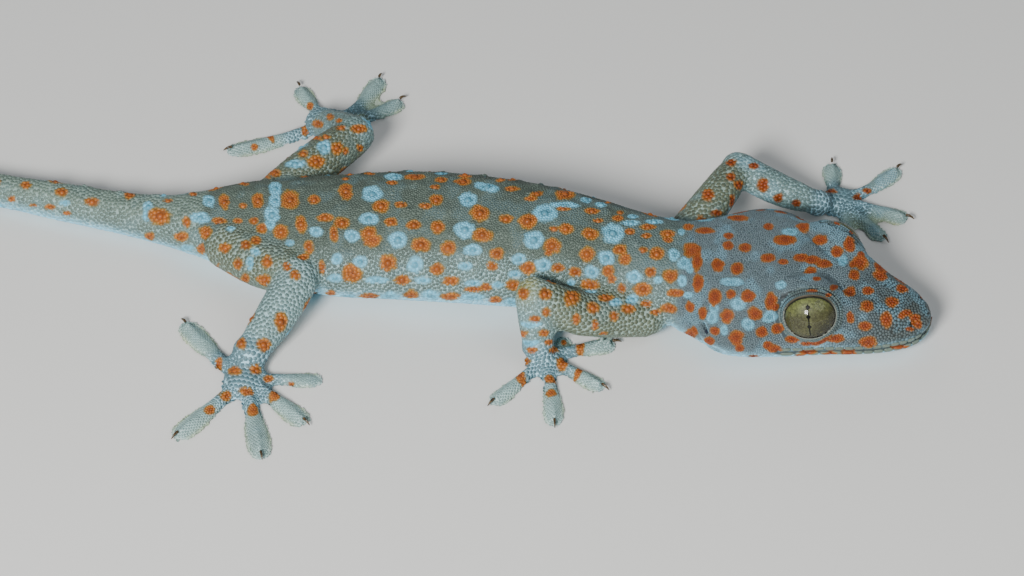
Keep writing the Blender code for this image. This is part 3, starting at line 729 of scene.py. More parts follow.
def coatOf(name):                                 # the coat that a piece of flesh wears
    kinds = {"head": "head", "neck": "neck", "torso": "back", "tail": "tail", "thigh": "upper",
             "shin": "lower", "hand": "foot", "foot": "foot"}
    if name.startswith("arm"):
        return name.split("_")[2]
    return next(kind for start, kind in kinds.items() if name.startswith(start))


def limbWay(name):                                # towards the next piece of a limb, or else towards the tail
    side = name.split("_")[1] if "_" in name else ""
    for chain in ((f"arm_{side}_upper", f"arm_{side}_lower", f"hand_{side}"),
                  (f"thigh_{side}", f"shin_{side}", f"foot_{side}")):
        if name in chain[:2]:
            return unit(middleOf(chain[chain.index(name) + 1]) - middleOf(name))
    return np.array((-1.0, 0.0, 0.0))


def nearestFlesh(points):                         # number of the piece of flesh that each point lies on
    corners, triangles, owner = [], [], []
    for number, name in enumerate(flesh):
        faces = readTriangles(nodes[name].data)
        triangles.append(faces + sum(len(c) for c in corners))
        corners.append(readPoints(nodes[name].data))
        owner += [number] * len(faces)
    tree = BVHTree.FromPolygons(np.vstack(corners).tolist(), np.vstack(triangles).tolist())
    return np.array([owner[tree.find_nearest(p)[2]] for p in points.tolist()])


def turnToBelly(weights):                         # back, neck and tail turn into flank and belly
    level, turned = skinPoints[:, 2], skinNormals[:, 2]
    for kind, share in coatChange["flank share"].items():
        mine = weights[:, column[kind]].copy()
        flank = mine * share * step(turned, *coatChange["flank"])
        belly = mine * step(turned, *coatChange["belly"])
        if share:
            low, high = coatChange["low"]
            side = (1 - step(level, low * mm, high * mm)) * mine * coatChange["low share"]
            belly = np.maximum(belly, side)
        weights[:, column["flank"]] += flank * (1 - belly)
        weights[:, column["belly"]] += belly
        weights[:, column[kind]] = np.maximum(mine - flank * (1 - belly) - belly, 0)


def mapToe(weights, lie, onFoot, palm, knuckle, tip, bend, width):
    steps = np.linspace(0, 1, 40)
    curve, ahead = toeCurve(palm, knuckle, tip, bend, steps)
    tree = pointTree(curve)
    reach, end = coatChange["toe reach"] * mm, coatChange["toe end"] * mm
    low, high = curve.min(0) - reach, curve.max(0) + reach + end
    for k in np.where(onFoot & np.all((skinPoints > low) & (skinPoints < high), axis=1))[0]:
        _, number, _ = tree.find((skinPoints[k, 0], skinPoints[k, 1], 0.0))
        gap = math.hypot(*(skinPoints[k, :2] - curve[number, :2])) / mm
        half = toeHalf(width, steps[number])
        if gap < half + coatChange["toe margin"]:
            lie[k] = ahead[number]
            pad = step(steps[number], *coatChange["pad"])
            edge = step(gap / half, *coatChange["fringe"]) * pad
            weights[k] *= 1 - pad
            weights[k, column["toe"]] += pad * (1 - edge)
            weights[k, column["fringe"]] += edge


def makeFields():                                 # columns: space, rise, lap, scale and seam colour, lie
    along = skinPoints[:, 0] / mm
    looks = np.array([[kind["space"], kind["rise"], kind["lap"], *tint(*kind["scale"]), *tint(*kind["seam"])]
                      for kind in coat.values()])
    weights = np.zeros((len(skinPoints), len(coat)))
    lie = np.zeros((len(skinPoints), 3))
    nearest = nearestFlesh(skinPoints)
    for number, name in enumerate(flesh):
        weights[nearest == number, column[coatOf(name)]] = 1.0
        lie[nearest == number] = limbWay(name)
    tipward = weights[:, column["head"]] * step(along, *coatChange["snout"])
    weights[:, column["head"]] -= tipward
    weights[:, column["snout"]] += tipward
    turnToBelly(weights)
    onFoot = weights[:, column["foot"]] > 0.5
    for foot in feet.values():
        for toe in foot["toes"]:
            mapToe(weights, lie, onFoot, foot["palm"], *toe)
    fields = smoothField(np.hstack((weights @ looks, lie)), readEdges(skin.data), coatChange["rounds"])
    fine = coatChange["finer"] * weights[:, column["head"]] * step(along, *coatChange["behind eyes"])
    fields[:, 0] *= 1 - fine
    turned, last = coatChange["under"]
    fields[:, 0] *= np.where((skinNormals[:, 2] < turned) & (along < last), coatChange["coarser"], 1.0)
    return fields, weights


fields, weights = makeFields()
print("skin mapped")


# markings: spots seen in the photograph as x, y, half width and half height in its pixels

spotsSeen = {
    "body orange": (
        (350, 172, 4.8, 1.9), (370, 174, 5.5, 2.7), (389, 167, 4.8, 2.2), (346, 179, 3.6, 1.7),
        (392, 183, 5.5, 2.2), (415, 177, 9.1, 3.4), (441, 180, 6.1, 2.4), (435, 187, 4.8, 2.2),
        (464, 174, 6.7, 2.7), (463, 182, 8.5, 3.6), (501, 180, 4.8, 1.9), (346, 191, 6.7, 8.2),
        (381, 206, 7.9, 6.1), (401, 205, 6.1, 3), (436, 200, 6.7, 5.5), (425, 206, 6.7, 3),
        (480, 213, 9.1, 7.3), (506, 219, 6.7, 4.2), (391, 222, 6.7, 3.9), (414, 225, 7.3, 4.2),
        (438, 227, 6.7, 6.1), (482, 235, 9.1, 6.7), (342, 223, 7.3, 5.5), (334, 234, 4.2, 7.9),
        (369, 233, 7.9, 6.1), (372, 240, 9.1, 6.7), (421, 245, 8.5, 6.7), (448, 248, 7.3, 6.7),
        (497, 254, 6.7, 6.1), (492, 266, 5.5, 4.8), (388, 263, 7.9, 8.5), (437, 269, 7.3, 6.1),
        (352, 274, 9.7, 7.9), (402, 280, 7.9, 4.8), (451, 281, 7.9, 4.6), (474, 289, 9.1, 2.7),
        (486, 287, 5.5, 3.6), (513, 285, 6.7, 5.5), (369, 296, 9.7, 3.6), (411, 295, 7.3, 4.2),
        (450, 297, 9.1, 3.6), (495, 300, 6.7, 3), (331, 293, 4.8, 3), (512, 179, 5.6, 3.1),
        (512, 189, 7, 2.5), (537, 194, 6.3, 2.5), (531, 199, 6.3, 2.5), (565, 194, 9.1, 6.3),
        (563, 209, 7, 2.1), (592, 211, 7, 3.1), (608, 203, 3.1, 1.7), (620, 213, 3.5, 2),
        (618, 218, 5.6, 2.8), (598, 221, 4.9, 2.1), (630, 232, 4.9, 2.8), (648, 227, 7.7, 2.8),
        (646, 236, 4.9, 2.5), (668, 234, 7, 4.2), (688, 227, 4.9, 3.5), (528, 221, 8.4, 7.7),
        (554, 229, 4.2, 2.8), (566, 229, 7, 5.3), (590, 234, 7.7, 5.9), (552, 246, 8.4, 7.7),
        (549, 253, 4.2, 2.8), (587, 254, 7, 7), (620, 250, 7, 4.9), (625, 259, 6.3, 5.6),
        (657, 254, 7, 6.3), (643, 250, 4.2, 2.8), (528, 268, 7.7, 6.3), (558, 268, 6.3, 4.2),
        (575, 272, 5.6, 4.9), (608, 271, 5.9, 5.6), (612, 279, 4.2, 4.5), (651, 272, 5.6, 4.9),
        (670, 276, 7, 7), (590, 285, 9.1, 5.3), (622, 288, 3.9, 4.2), (643, 289, 8.7, 6.3),
        (692, 250, 8.4, 7), (697, 261, 4.9, 9.8), (676, 293, 8.4, 3.9), (646, 304, 5.6, 3.5),
        (669, 308, 8.4, 4.9), (697, 284, 4.2, 7), (690, 307, 3.1, 5.6), (628, 309, 7, 4.5),
        (655, 312, 6.3, 2.8), (605, 298, 7.7, 3.1), (243, 179, 5.7, 3.2), (274, 173, 5.7, 3.2),
        (265, 177, 4.6, 2.1), (193, 194, 3.4, 2.3), (168, 201, 4, 1.7), (187, 222, 4, 5.2),
        (224, 202, 5.2, 6.3), (243, 206, 4, 2.9), (258, 201, 5.7, 7.1), (220, 221, 6.9, 3.2),
        (238, 221, 4.6, 2.5), (254, 221, 4.6, 3.2), (262, 229, 5.2, 5.2), (290, 200, 8.6, 9.2),
        (314, 200, 6, 4.6), (325, 218, 7.5, 4.4), (301, 224, 5.5, 7.8), (281, 232, 7.1, 7.1),
        (309, 247, 4.8, 6.9), (181, 237, 6.3, 4.8), (207, 233, 6.3, 6.3), (202, 249, 4, 5.2),
    ),
    "limb orange": (
        (225, 248, 5.5, 4.8), (246, 245, 5.7, 4.8), (256, 241, 5.2, 4.4), (216, 267, 5.2, 5.2),
        (238, 264, 5.2, 5.5), (267, 262, 5.7, 6.3), (287, 267, 4, 4), (295, 275, 4.6, 4.8),
        (245, 279, 4, 4.4), (264, 280, 7.5, 5.5), (303, 258, 5.7, 2.1), (322, 267, 2.9, 6.9),
        (281, 322, 6.5, 9.2), (241, 343, 4.6, 5.2), (264, 345, 6.3, 6.3),
        (219, 364, 3.3, 6.5), (234, 371, 7, 4.3), (255, 370, 6, 4.6), (268, 379, 5.2, 3.3),
        (291, 384, 3.3, 2.4), (226, 396, 5.4, 5.2), (246, 392, 6, 4.3), (253, 410, 5.6, 6),
        (210, 410, 5.4, 4.6), (275, 395, 5.4, 4.9), (545, 294, 6.3, 5.7), (572, 297, 7.5, 8),
        (523, 294, 5.7, 5.7), (546, 312, 4.4, 4.4), (535, 319, 5.7, 3.4), (544, 333, 5.2, 3.4),
        (523, 334, 4, 3.4), (549, 342, 4.6, 2.9), (532, 350, 5.7, 2.9), (553, 350, 4.4, 3.4),
        (564, 343, 2.9, 3.2), (579, 344, 4.4, 4.6), (528, 361, 5.2, 3.7), (563, 362, 6, 5.5),
        (580, 370, 5.2, 4.4), (520, 376, 4.8, 4.6), (549, 379, 5.5, 4), (551, 393, 5.2, 3.7),
        (576, 319, 4, 5.2), (593, 308, 6.3, 5.5), (595, 325, 3.2, 5.2), (603, 333, 4, 1.7),
        (614, 316, 4, 4.8), (708, 195, 5.6, 6.1), (732, 201, 2.4, 6.4), (739, 185, 4.5, 4.5),
        (731, 177, 4.8, 4), (763, 185, 6.1, 6.4), (778, 198, 4.5, 4.5), (796, 203, 4, 3.5),
        (754, 166, 4.8, 3.2), (731, 163, 4.8, 3.5), (716, 213, 5.6, 2.9), (831, 191, 5.1, 1.9),
        (857, 198, 4.5, 3.2), (867, 191, 4.5, 2.6), (330, 117, 3.6, 3.8), (339, 121, 3.2, 2.3),
        (341, 128, 4.4, 2.3), (359, 129, 7.6, 4.4), (305, 131, 3.6, 3.8), (318, 124, 5.4, 4),
        (316, 138, 5.7, 2.3), (326, 137, 4.4, 2.5), (337, 148, 5.8, 6.4), (345, 151, 3.2, 3.8),
        (360, 148, 3.2, 3.2), (303, 154, 5.1, 3.6), (316, 162, 8.2, 6), (274, 173, 6.2, 3.5),
        (254, 147, 3.8, 3.5), (270, 137, 3.8, 2.3), (310, 106, 3.2, 3.8),
    ),
    "tail orange": (
        (26, 185, 5.4, 3.8), (12, 199, 3.8, 2.7), (34, 205, 3.8, 1.6), (50, 207, 4.9, 2.7),
        (62, 192, 6.5, 3.8), (67, 213, 3.8, 2.2), (92, 202, 6.5, 4.1), (130, 195, 5.4, 3.3),
        (150, 236, 4.9, 3.8), (160, 216, 10.3, 8.1),
    ),
    "head orange": (
        (705, 231, 9, 3), (718, 265, 6, 6), (728, 246, 5, 4), (729, 236, 5, 3), (745, 248, 6, 4),
        (737, 269, 6, 6), (738, 218, 10, 3), (768, 227, 5, 4), (768, 258, 7, 4), (783, 262, 5, 3),
        (785, 240, 10, 5), (803, 227, 6, 5), (820, 240, 7, 5), (837, 252, 6, 5), (801, 258, 7, 4),
        (812, 260, 8, 4), (824, 264, 8, 4), (850, 245, 5, 4), (861, 254, 4, 3), (854, 264, 4.5, 4),
        (854, 275, 5, 5), (880, 276, 7, 5), (902, 289, 6, 4), (892, 302, 6, 5), (868, 291, 6, 4),
        (867, 306, 6, 5.5), (849, 293, 6, 4), (833, 288, 3, 2.5), (817, 279, 4, 2), (810, 272, 6, 2),
        (886, 320, 5.5, 8), (850, 317, 3.5, 5), (865, 326, 6.5, 4.5), (868, 342, 8, 5.5),
        (698, 282, 5, 8), (715, 297, 6.5, 8), (731, 294, 4.5, 4.5), (748, 296, 6.5, 6),
        (771, 301, 6, 8), (775, 307, 4, 4), (727, 316, 6.5, 7), (703, 313, 4, 6), (755, 314, 7, 6),
        (715, 331, 5, 4), (762, 332, 5.5, 5), (777, 328, 6, 5), (736, 338, 7, 7), (740, 348, 4, 4),
        (768, 345, 4.5, 4), (775, 349, 7, 4), (792, 339, 6.5, 4), (810, 343, 8, 3), (822, 341, 8, 3.2),
        (835, 338, 8, 4), (808, 352, 8, 3), (848, 353, 7, 2.5), (900, 347, 9, 2), (691, 334, 6, 5),
        (709, 341, 5, 4), (754, 356, 5, 1.5), (799, 358, 4, 1.5), (830, 358, 7, 1.5),
        (901, 316, 3.5, 3), (906, 313, 6, 3), (915, 318, 5, 4), (918, 324, 4, 5), (910, 329, 4, 2),
        (668, 240, 5, 3), (890, 268, 4, 3), (903, 277, 3, 2), (812, 291, 5.0, 1.6),
        (828, 295, 3.4, 1.5), (834, 287, 3.7, 2.2),
    ),
    "blue": (
        (369, 167, 6.1, 2.2), (394, 177, 9.1, 3.6), (411, 170, 4.8, 1.9), (441, 174, 6.7, 2.4),
        (485, 176, 7.3, 3.4), (487, 187, 11.5, 3.9), (372, 194, 9.7, 7.9), (468, 200, 8.5, 7.3),
        (369, 219, 9.1, 5.8), (352, 236, 7, 6.1), (398, 240, 9.1, 7.9), (465, 230, 10.3, 8.5),
        (473, 250, 8.5, 5.8), (337, 259, 5.5, 5.5), (360, 262, 7, 5.8), (415, 265, 7.9, 7.9),
        (465, 266, 7.3, 3.9), (335, 278, 7.3, 4.2), (376, 280, 10.9, 3.4), (423, 280, 7.9, 3.9),
        (473, 283, 8.5, 3), (497, 285, 5.5, 3), (515, 274, 6.1, 3.4), (349, 296, 6.7, 3),
        (390, 296, 9.7, 3.9), (431, 296, 9.1, 3.9), (473, 297, 12.1, 3.6), (511, 302, 7.9, 3.4),
        (540, 184, 6.3, 3.5), (564, 205, 15.4, 2.8), (586, 200, 4.9, 3.1), (601, 205, 5.6, 2.8),
        (633, 217, 5.6, 2.1), (631, 223, 8.4, 2.8), (654, 222, 8.4, 2.2), (545, 213, 11.9, 8.4),
        (534, 240, 10.1, 8.7), (519, 259, 7, 5.3), (543, 265, 8.1, 6.3), (613, 233, 10.5, 9.1),
        (606, 258, 7.7, 7.3), (592, 272, 7.3, 6.3), (634, 277, 8.4, 6.3), (658, 280, 4.9, 3.5),
        (681, 232, 3.5, 3.5), (674, 255, 5.6, 6.3), (684, 263, 6.3, 5.6), (682, 281, 4.2, 6.3),
        (571, 282, 4.2, 2.8), (591, 292, 5.6, 2.1), (632, 300, 5.6, 4.2), (615, 302, 5.6, 3.5),
        (688, 295, 5.6, 3.5), (222, 181, 8.6, 4), (209, 201, 5.7, 5.7), (200, 218, 10.3, 5.2),
        (275, 189, 6, 6.9), (275, 201, 5.7, 6.9), (272, 215, 7.1, 8), (270, 224, 5.2, 5.2),
        (316, 232, 6.3, 5.2), (324, 147, 6.3, 6.9), (295, 164, 10.3, 4), (256, 252, 4.6, 3.4),
        (231, 229, 4.6, 2.3), (250, 263, 3.4, 6.9), (290, 243, 4, 2.9), (164, 194, 2.9, 2.3),
        (187, 248, 6.9, 3.4), (529, 325, 11.5, 2.9), (529, 343, 10.3, 3.4), (148, 207, 4.3, 5.4),
        (147, 216, 4.3, 5.4), (65, 203, 5.4, 2.7), (732, 282, 11, 4), (738, 304, 8, 6),
        (712, 318, 6, 6), (770, 316, 8, 6), (748, 324, 6, 6), (842, 262, 5, 5), (781, 285, 5, 4),
        (714, 308, 5, 5), (724, 330, 4, 5), (690, 268, 4, 5), (790, 232, 8, 4),
    ),
}
hiddenSpots = {                                   # sizes, gaps between spots of one colour and of two
    "tries": 9000, "orange": (1.05, 1.5), "blue": (1.2, 1.8), "apart": 4.4, "mixed": 3.3,
    "orange share": 0.62, "lowest": 0.8, "turned": -0.55, "seen": 0.12, "seen to": 100, "miss": 0.8,
    "from eye": 9.0, "tail from": -110, "tail size": 0.7, "long": (0.9, 1.25),
}
spotLooks = {                                     # each colour on the body, then on the head
    "blue": {"middle": (tint(104, 150, 168), tint(104, 146, 162)),
             "ring": (tint(140, 200, 224), tint(132, 182, 202)),
             "rim": (tint(118, 156, 168), tint(104, 138, 150)), "ring at": (0.30, 0.52),
             "rim at": (0.66, 1.0), "edge": (1.12, 0.90), "cover": 0.95, "seam": 0.78, "seam cover": 0.85},
    "orange": {"middle": (tint(144, 82, 46, 1.15), tint(124, 58, 26, 1.15)),
               "ring": (tint(168, 104, 56, 1.15), tint(142, 74, 32, 1.15)),
               "rim": (tint(134, 112, 58, 1.15), tint(136, 100, 52, 1.15)), "ring at": (0.25, 0.62),
               "rim at": (0.72, 1.02), "edge": (1.14, 0.96), "cover": 1.0, "seam": 0.62, "seam cover": 1.0},
}
ground = {                                        # soft clouds between the spots: size, seed and strength
    "broad": ((7.0, 3, 0.6), (3.0, 4, 0.4)), "patchy": ((3.6, 8, 1.0), (1.6, 9, 0.5)),
    "ragged": ((0.9, 5, 0.17), (0.45, 6, 0.09)), "scale": 0.24, "seam": 0.14, "head": (30, 39),
    "sky": tint(126, 162, 178), "sky from": (0.05, 0.75), "sky share": (0.14, 0.34),
}
stain = {"pixel": (525, 285), "reach": 3.2, "colour": tint(150, 140, 58), "amount": 0.55}  # on the elbow
spotSpread = {"reach": 4.0, "deep": 2.6, "firm": 0.94, "stretch": 2.3, "shallow": -0.05}


def placeSpot(x, y, across, high):                # a spot's middle, its two half axes on the skin, the normal
    for turn, reach in [(0, 0)] + [(a, r) for r in (1.5, 3, 5) for a in range(0, 360, 45)]:
        px = x + reach * math.cos(math.radians(turn))
        py = y + reach * math.sin(math.radians(turn))
        hit, normal, _, distance = skinTree.ray_cast(Vector(eyePlace), Vector(photoRay(px, py)).normalized())
        if hit is not None and hit.z > 0.1 * mm:
            break
    else:
        return None
    size = distance * camera["sensor"] / camera["lens"] / camera["frame"][0]
    middle, normal = np.array(hit), np.array(normal)
    halves = []
    for dx, dy, length in ((1, 0, across), (0, 1, high)):
        ray = photoRay(px + dx, py + dy)
        target = eyePlace + ray * ((middle - eyePlace) @ normal) / min(ray @ normal, spotSpread["shallow"])
        stretch = min(np.linalg.norm(target - middle) / size, spotSpread["stretch"])
        halves.append(unit(target - middle) * size * length * stretch)
    return middle, *halves, normal


def roundSpot(normal):                            # two directions across a spot that no photograph gives
    first = unit(np.cross(normal, (0.0, 0.3, 1.0)))
    return first, np.cross(normal, first)


def twinSpot(spot):                               # the same spot on the head's other side
    place = np.array(skinTree.find_nearest(Vector(mirrorHead(spot[0])))[0])
    size = math.sqrt(np.linalg.norm(spot[1]) * np.linalg.norm(spot[2]))
    normal = np.array(skinTree.find_nearest(Vector(place))[1])
    first, second = roundSpot(normal)
    return place, first * size, second * size, normal


def isSeen(place, normal):                        # does the photograph show this place?
    toCamera = eyePlace - place
    if normal @ unit(toCamera) <= hiddenSpots["seen"] or abs(place[0]) >= hiddenSpots["seen to"] * mm:
        return False
    hit = skinTree.ray_cast(Vector(eyePlace), Vector(-toCamera).normalized())[0]
    return hit is not None and (hit - Vector(place)).length < hiddenSpots["miss"] * mm


def gatherSpots():
    spots = []
    for group, rows in spotsSeen.items():
        kind = "blue" if group == "blue" else "orange"
        for x, y, across, high in rows:
            spot = placeSpot(x, y, across, high)
            if spot is None:
                continue
            spots.append((kind, *spot))
            if y > 285 and (group == "head orange" or (kind == "blue" and x > 700)):
                twin = twinSpot(spot)
                if twin[0][1] > 3 * mm:
                    spots.append((kind, *twin))
    # the sides that the photograph doesn't show carry spots of the same kinds and sizes
    a, b, c = (skinPoints[skinTriangles[:, k]] for k in range(3))
    areas = np.linalg.norm(np.cross(b - a, c - a), axis=1)
    tries = dice.choice(len(skinTriangles), hiddenSpots["tries"], p=areas / areas.sum())
    onFeet = weights[:, [column[k] for k in ("foot", "toe", "fringe")]].sum(1) > 0.4
    for corners in skinTriangles[tries]:
        place, normal = skinPoints[corners].mean(0), unit(skinNormals[corners].mean(0))
        if normal[2] < hiddenSpots["turned"] or place[2] < hiddenSpots["lowest"] * mm or onFeet[corners[0]]:
            continue
        if isSeen(place, normal):
            continue
        if any(np.linalg.norm(place - eye[0]) < hiddenSpots["from eye"] * mm for eye in eyes.values()):
            continue
        kind = "orange" if dice.random() < hiddenSpots["orange share"] else "blue"
        close = [(k, np.linalg.norm(place - other)) for k, other, _, _, _ in spots]
        if (min((d for k, d in close if k == kind), default=1) < hiddenSpots["apart"] * mm
                or min((d for k, d in close if k != kind), default=1) < hiddenSpots["mixed"] * mm):
            continue
        size = dice.uniform(*hiddenSpots[kind]) * mm
        size *= hiddenSpots["tail size"] if place[0] < hiddenSpots["tail from"] * mm else 1.0
        first, second = roundSpot(normal)
        spots.append((kind, place, first * size * dice.uniform(*hiddenSpots["long"]), second * size, normal))
    return spots


def clouds(points, layers):
    return sum(strength * cloud(points, size * mm, seed) for size, seed, strength in layers)


def spotShares(points):                           # 1 at the edge of each colour's nearest spot, less inside
    shares = {kind: np.full(len(points), 9.0) for kind in spotLooks}
    order = np.argsort(points[:, 0])
    sortedAlong = points[order, 0]
    reach = spotSpread["reach"] * mm
    for kind, place, first, second, normal in spots:
        low, high = np.searchsorted(sortedAlong, (place[0] - reach, place[0] + reach))
        close = order[low:high]
        away = points[close] - place
        inside = rowDots(away, away) < reach ** 2
        close, away = close[inside], away[inside]
        if len(close):
            basis = np.stack((first, second, normal * spotSpread["deep"] * mm), 1)
            share = np.linalg.norm(away @ np.linalg.inv(basis).T, axis=1) * spotSpread["firm"]
            shares[kind][close] = np.minimum(shares[kind][close], share)
    return shares


def paintPoints(points, scale, seam):             # the markings on scales and seams, at places in space
    onHead = step(points[:, 0] / mm, *ground["head"])[:, None]
    broad = clouds(points, ground["broad"])
    patchy = step(clouds(points, ground["patchy"]), *ground["sky from"])[:, None]
    scale = scale * (1 + ground["scale"] * broad)[:, None]
    seam = seam * (1 + ground["seam"] * broad)[:, None]
    onBody, more = ground["sky share"]
    scale = blend(scale, ground["sky"], patchy * (onBody + more * onHead))
    away = np.linalg.norm(points - stain["place"], axis=1) / (stain["reach"] * mm)
    amount = stain["amount"] * np.exp(-away ** 2)
    scale, seam = blend(scale, stain["colour"], amount), blend(seam, stain["colour"], amount)
    shares, ragged = spotShares(points), clouds(points, ground["ragged"])
    for kind, look in spotLooks.items():          # orange lies over blue
        share = shares[kind] + ragged
        middle, ring, rim = (body + (head - body) * onHead for body, head in
                             (look["middle"], look["ring"], look["rim"]))
        tone = blend(middle, ring, step(share, *look["ring at"]))
        tone = blend(tone, rim, step(share, *look["rim at"]))
        amount = step(share, *look["edge"]) * look["cover"]
        scale = blend(scale, tone, amount)
        seam = blend(seam, tone * look["seam"], amount * look["seam cover"])
    return scale, seam


stain["place"] = np.array(skinTree.ray_cast(Vector(eyePlace), Vector(photoRay(*stain["pixel"])))[0])
spots = gatherSpots()
print("spots:", len(spots))


# scales: spread over the skin by their spacing, then eased apart until they pack evenly

tubercles = {                                     # rows: degrees down from the ridge, first and last x, gap
    "rows": ((13, -97, 31, 5.2), (33, -97, 28, 5.0), (52, -92, 10, 5.2), (70, -60, 6, 5.6)),
    "first": -97, "last": 31, "space": 1.25, "rise": 0.38, "apart": 3.3, "margin": 0.60,
    "sizes": (0.55, 0.85), "shake": (0.35, 1.6), "from": (6, 0.2, 0.55), "on spots": (0.62, 0.32, 1.12),
    "spots apart": 2.2,
    "rings": ((1.02, -0.40, 0.0), (0.86, 0.20, 0.8), (0.58, 0.66, 1.0), (0.28, 0.93, 1.05)),
}
bodyLine = {
    "x": (-103, -85, -70, -56, -36, -8, 18, 36),
    "y": (6.6, 4.3, 2.4, 1.3, 0.7, 2.9, 2.2, 1.1),
    "z": (3.4, 4.0, 5.2, 7.2, 8.8, 10.4, 9.6, 9.4),
}
footRows = {                                      # sizes of the rows' scales, along and across
    "pad": {"from": 0.36, "along": 0.46, "across": 0.50},
    "base": {"from": 0.10, "along": 0.62, "across": 0.62},
    "palm": {"along": 0.86, "across": 0.94, "reach": 9.0, "round": 0.62},
    "apart": 0.72, "drop from": 7.2, "lowest": 0.5, "turned": 0.25, "bow": 0.32,
}
lids = {                                          # rings: degrees outside the opening, half sizes, rise, comb, painted shade
    "rings": (
        {"outside": 4.7, "count": 78, "wide": 0.20, "long": 0.25, "rise": 0.13, "comb": 0.20, "shade": 0.30},
        {"outside": 11.7, "count": 72, "wide": 0.24, "long": 0.25, "rise": 0.15, "comb": 0.08, "shade": 0.0},
        {"outside": 18.4, "count": 70, "wide": 0.27, "long": 0.27, "rise": 0.13, "comb": 0.0, "shade": 0.0},
    ),
    # inside is the painted shade inside the lids' opening
    "reach": 6.3, "tone": (90, 103, 103), "seam": (50, 56, 56), "inside": tint(26, 24, 16),
    "margin": tint(136, 142, 134), "upper margin": tint(74, 66, 50),
    "scale rings": ((1.0, -0.4, 0.0), (0.84, 0.62, 0.85), (0.5, 0.95, 1.0)),
    "bare": {"round scales": 0.50, "distance": 7.4, "outside": 18},
}
packing = {"cell": 1.155, "crowd": 7, "bump gap": 0.92, "row gap": 0.80, "gap": 0.78, "neighbours": 8,
           "rounds": 3, "press": 1.06, "move": 0.42, "limit": 0.4, "facing": 0.2}


def castTubercles():                              # one on each spot of the back, and rows of them between
    rows, sizes = [], []
    apart = tubercles["apart"] * mm
    level, turned, smallest = tubercles["from"]
    base, more, largest = tubercles["on spots"]
    for _, place, first, second, normal in spots:
        inside = tubercles["first"] * mm < place[0] < tubercles["last"] * mm
        size = min(np.linalg.norm(first), np.linalg.norm(second)) / mm
        if inside and normal[2] > turned and place[2] > level * mm and size > smallest:
            if all((Vector(place) - other).length > tubercles["spots apart"] * mm for other in rows):
                rows.append(Vector(place))
                sizes.append(min(base + more * size, largest))
    for number, (down, first, last, gap) in enumerate(tubercles["rows"]):
        for side in (-1, 1):
            for x in np.arange(first + (number % 2) * gap / 2, last, gap):
                x = x + dice.normal(0, tubercles["shake"][0])
                turn = math.radians(down + dice.normal(0, tubercles["shake"][1]))
                start = Vector((x, np.interp(x, bodyLine["x"], bodyLine["y"]),
                                np.interp(x, bodyLine["x"], bodyLine["z"]))) * mm
                place = skinTree.ray_cast(start, Vector((0, side * math.sin(turn), math.cos(turn))))[0]
                if place is not None and all((place - other).length > apart for other in rows):
                    rows.append(place)
                    sizes.append(dice.uniform(*tubercles["sizes"]))
    return np.array(rows), np.array(sizes)


def castFeet():                                   # rows of scales from above, over the toes and the palms
    places, gaps = [], []

    def drop(x, y, along):
        gap = along * footRows["apart"] * mm
        start = Vector((x, y, footRows["drop from"] * mm))
        place, normal, _, _ = skinTree.ray_cast(start, Vector((0, 0, -1)))
        if place is None or place.z < footRows["lowest"] * mm or normal.z < footRows["turned"]:
            return
        if all(abs(place.x - p.x) > gap or (place - p).length > gap for p in places[-400:]):
            places.append(place)
            gaps.append(gap / footRows["apart"])

    for foot in feet.values():
        for knuckle, tip, bend, width in foot["toes"]:
            fine = np.linspace(0, 1, 200)
            curve, ahead = toeCurve(foot["palm"], knuckle, tip, bend, fine)
            run = np.concatenate(([0], np.cumsum(np.linalg.norm(np.diff(curve, axis=0), axis=1)))) / mm
            at, number = run[-1] * footRows["base"]["from"], 0
            while at < run[-1]:
                t = np.interp(at, run, fine)
                rows = footRows["pad"] if t > footRows["pad"]["from"] else footRows["base"]
                k = min(int(t * 199), 199)
                half = toeHalf(width, t) + 0.2
                count = int(half / rows["across"])
                for place in range(-count, count + 1):
                    off = (place + (number % 2) * 0.5) * rows["across"]
                    bow = footRows["bow"] * (off / half) ** 2 * rows["across"]
                    x = curve[k, 0] - ahead[k, 1] * off * mm - ahead[k, 0] * bow * mm
                    y = curve[k, 1] + ahead[k, 0] * off * mm - ahead[k, 1] * bow * mm
                    drop(x, y, rows["along"])
                at += rows["along"]
                number += 1
        rows, turn = footRows["palm"], math.radians(foot["heading"])
        steps = int(rows["reach"] / rows["along"])
        for row in range(-steps, steps + 1):
            for place in range(-steps, steps + 1):
                forward = row * rows["along"]
                off = (place + (row % 2) * 0.5) * rows["across"]
                if math.hypot(forward, off) < rows["reach"] * rows["round"]:
                    x = foot["palm"][0] + forward * math.cos(turn) - off * math.sin(turn)
                    y = foot["palm"][1] + forward * math.sin(turn) + off * math.cos(turn)
                    drop(x * mm, y * mm, rows["along"])
    return np.array(places), np.array(gaps)


def castLids():                                   # places of the lids' scales, ring by ring
    rows = []
    for side, (centre, axis, across, lift) in eyes.items():
        for number, ring in enumerate(lids["rings"]):
            for turn in (np.arange(ring["count"]) + 0.5 * number) * 2 * math.pi / ring["count"]:
                up = math.sin(turn)
                angle = math.radians(lidOpening(-side * math.cos(turn), up) + ring["outside"])
                out = across * math.cos(turn) + lift * up
                way = axis * math.cos(angle) + out * math.sin(angle)
                upper = max(up, 0.0) ** 0.7
                # the first ring is painted in shade along the upper lid of the right eye
                bright = 1 - (ring["shade"] if side < 0 else 0.0) * upper
                place, lie = centre + way * lids["reach"] * mm, out * math.cos(angle) - axis * math.sin(angle)
                rise = ring["rise"] + ring["comb"] * upper
                rows.append((place, lie, ring["long"], ring["wide"], rise, bright))
    return [np.array(values) for values in zip(*rows)]


def nearMouth(points):
    return [nearness(points, line) for (name, _), line in headLines.items() if name == "mouth"]


